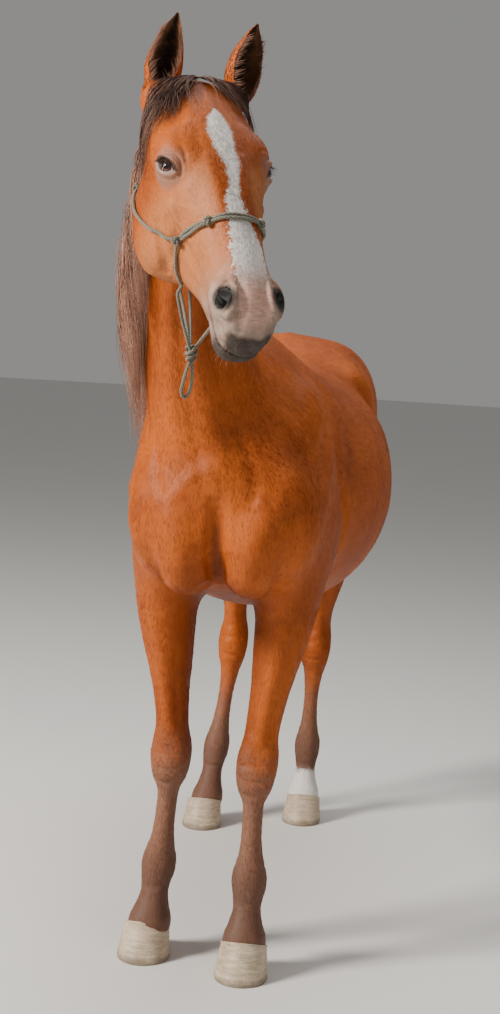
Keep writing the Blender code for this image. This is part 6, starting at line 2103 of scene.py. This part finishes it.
class HORSE_OT_coats(HorseStep):
    """Lays the short coat over the skin, in tufts"""
    bl_idname, bl_label = "horse.coats", "Coat"
    make = make_coats


class HORSE_OT_eyes(HorseStep):
    """Makes the eyeballs"""
    bl_idname, bl_label = "horse.eyes", "Eyes"
    make = make_eyes


class HORSE_OT_hooves(HorseStep):
    """Makes the four hooves, with their growth rings"""
    bl_idname, bl_label = "horse.hooves", "Hooves"
    make = make_hooves


class HORSE_OT_mane(HorseStep):
    """Hangs the mane over the right side of the neck"""
    bl_idname, bl_label = "horse.mane", "Mane"
    make = make_mane


class HORSE_OT_forelock(HorseStep):
    """Parts the forelock over the forehead"""
    bl_idname, bl_label = "horse.forelock", "Forelock"
    make = make_forelock


class HORSE_OT_tail(HorseStep):
    """Makes the tail's long hair"""
    bl_idname, bl_label = "horse.tail", "Tail"
    make = make_tail


class HORSE_OT_whiskers(HorseStep):
    """Adds feelers, lashes, the ears' long hair and the tufts behind the fetlocks"""
    bl_idname, bl_label = "horse.whiskers", "Whiskers"
    make = make_whiskers


class HORSE_OT_halter(HorseStep):
    """Ties the rope halter"""
    bl_idname, bl_label = "horse.halter", "Halter"
    make = make_halter


class HORSE_OT_stage(HorseStep):
    """Sets the floor, the lights and the camera"""
    bl_idname, bl_label = "horse.stage", "Stage"
    make = make_stage


STEPS = (HORSE_OT_stage, HORSE_OT_skin, HORSE_OT_eyes, HORSE_OT_hooves, HORSE_OT_coats, HORSE_OT_mane,
         HORSE_OT_forelock, HORSE_OT_tail, HORSE_OT_whiskers, HORSE_OT_halter)


class HORSE_PT_panel(bpy.types.Panel):
    """The horse's settings and steps"""
    bl_label, bl_space_type, bl_region_type, bl_category = "Horse", "VIEW_3D", "UI", "Horse"

    def draw(self, context):
        for name, kind in GROUPS_OF_SETTINGS.items():
            for key in kind.__annotations__:
                self.layout.prop(getattr(context.scene, name), key)
        for step in STEPS:
            self.layout.operator(step.bl_idname)


GROUPS_OF_SETTINGS = {"horse_shape": HorseShape, "horse_colours": HorseColours, "horse_hair": HorseHair}


def register():
    for kind in (*GROUPS_OF_SETTINGS.values(), *STEPS, HORSE_PT_panel):
        bpy.utils.register_class(kind)
    for key, kind in GROUPS_OF_SETTINGS.items():
        setattr(bpy.types.Scene, key, bpy.props.PointerProperty(type=kind))


def unregister():
    for key in GROUPS_OF_SETTINGS:
        delattr(bpy.types.Scene, key)
    for kind in (HORSE_PT_panel, *STEPS, *GROUPS_OF_SETTINGS.values()):
        bpy.utils.unregister_class(kind)


def main():
    register()
    for step in STEPS:
        group, word = step.bl_idname.split(".")
        getattr(getattr(bpy.ops, group), word)()
    bpy.context.view_layer.update()
    boxes = [[list(map(float, corner)) for corner in box] for box in (CAD_BOX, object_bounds())]


if __name__ == "__main__":
    main()
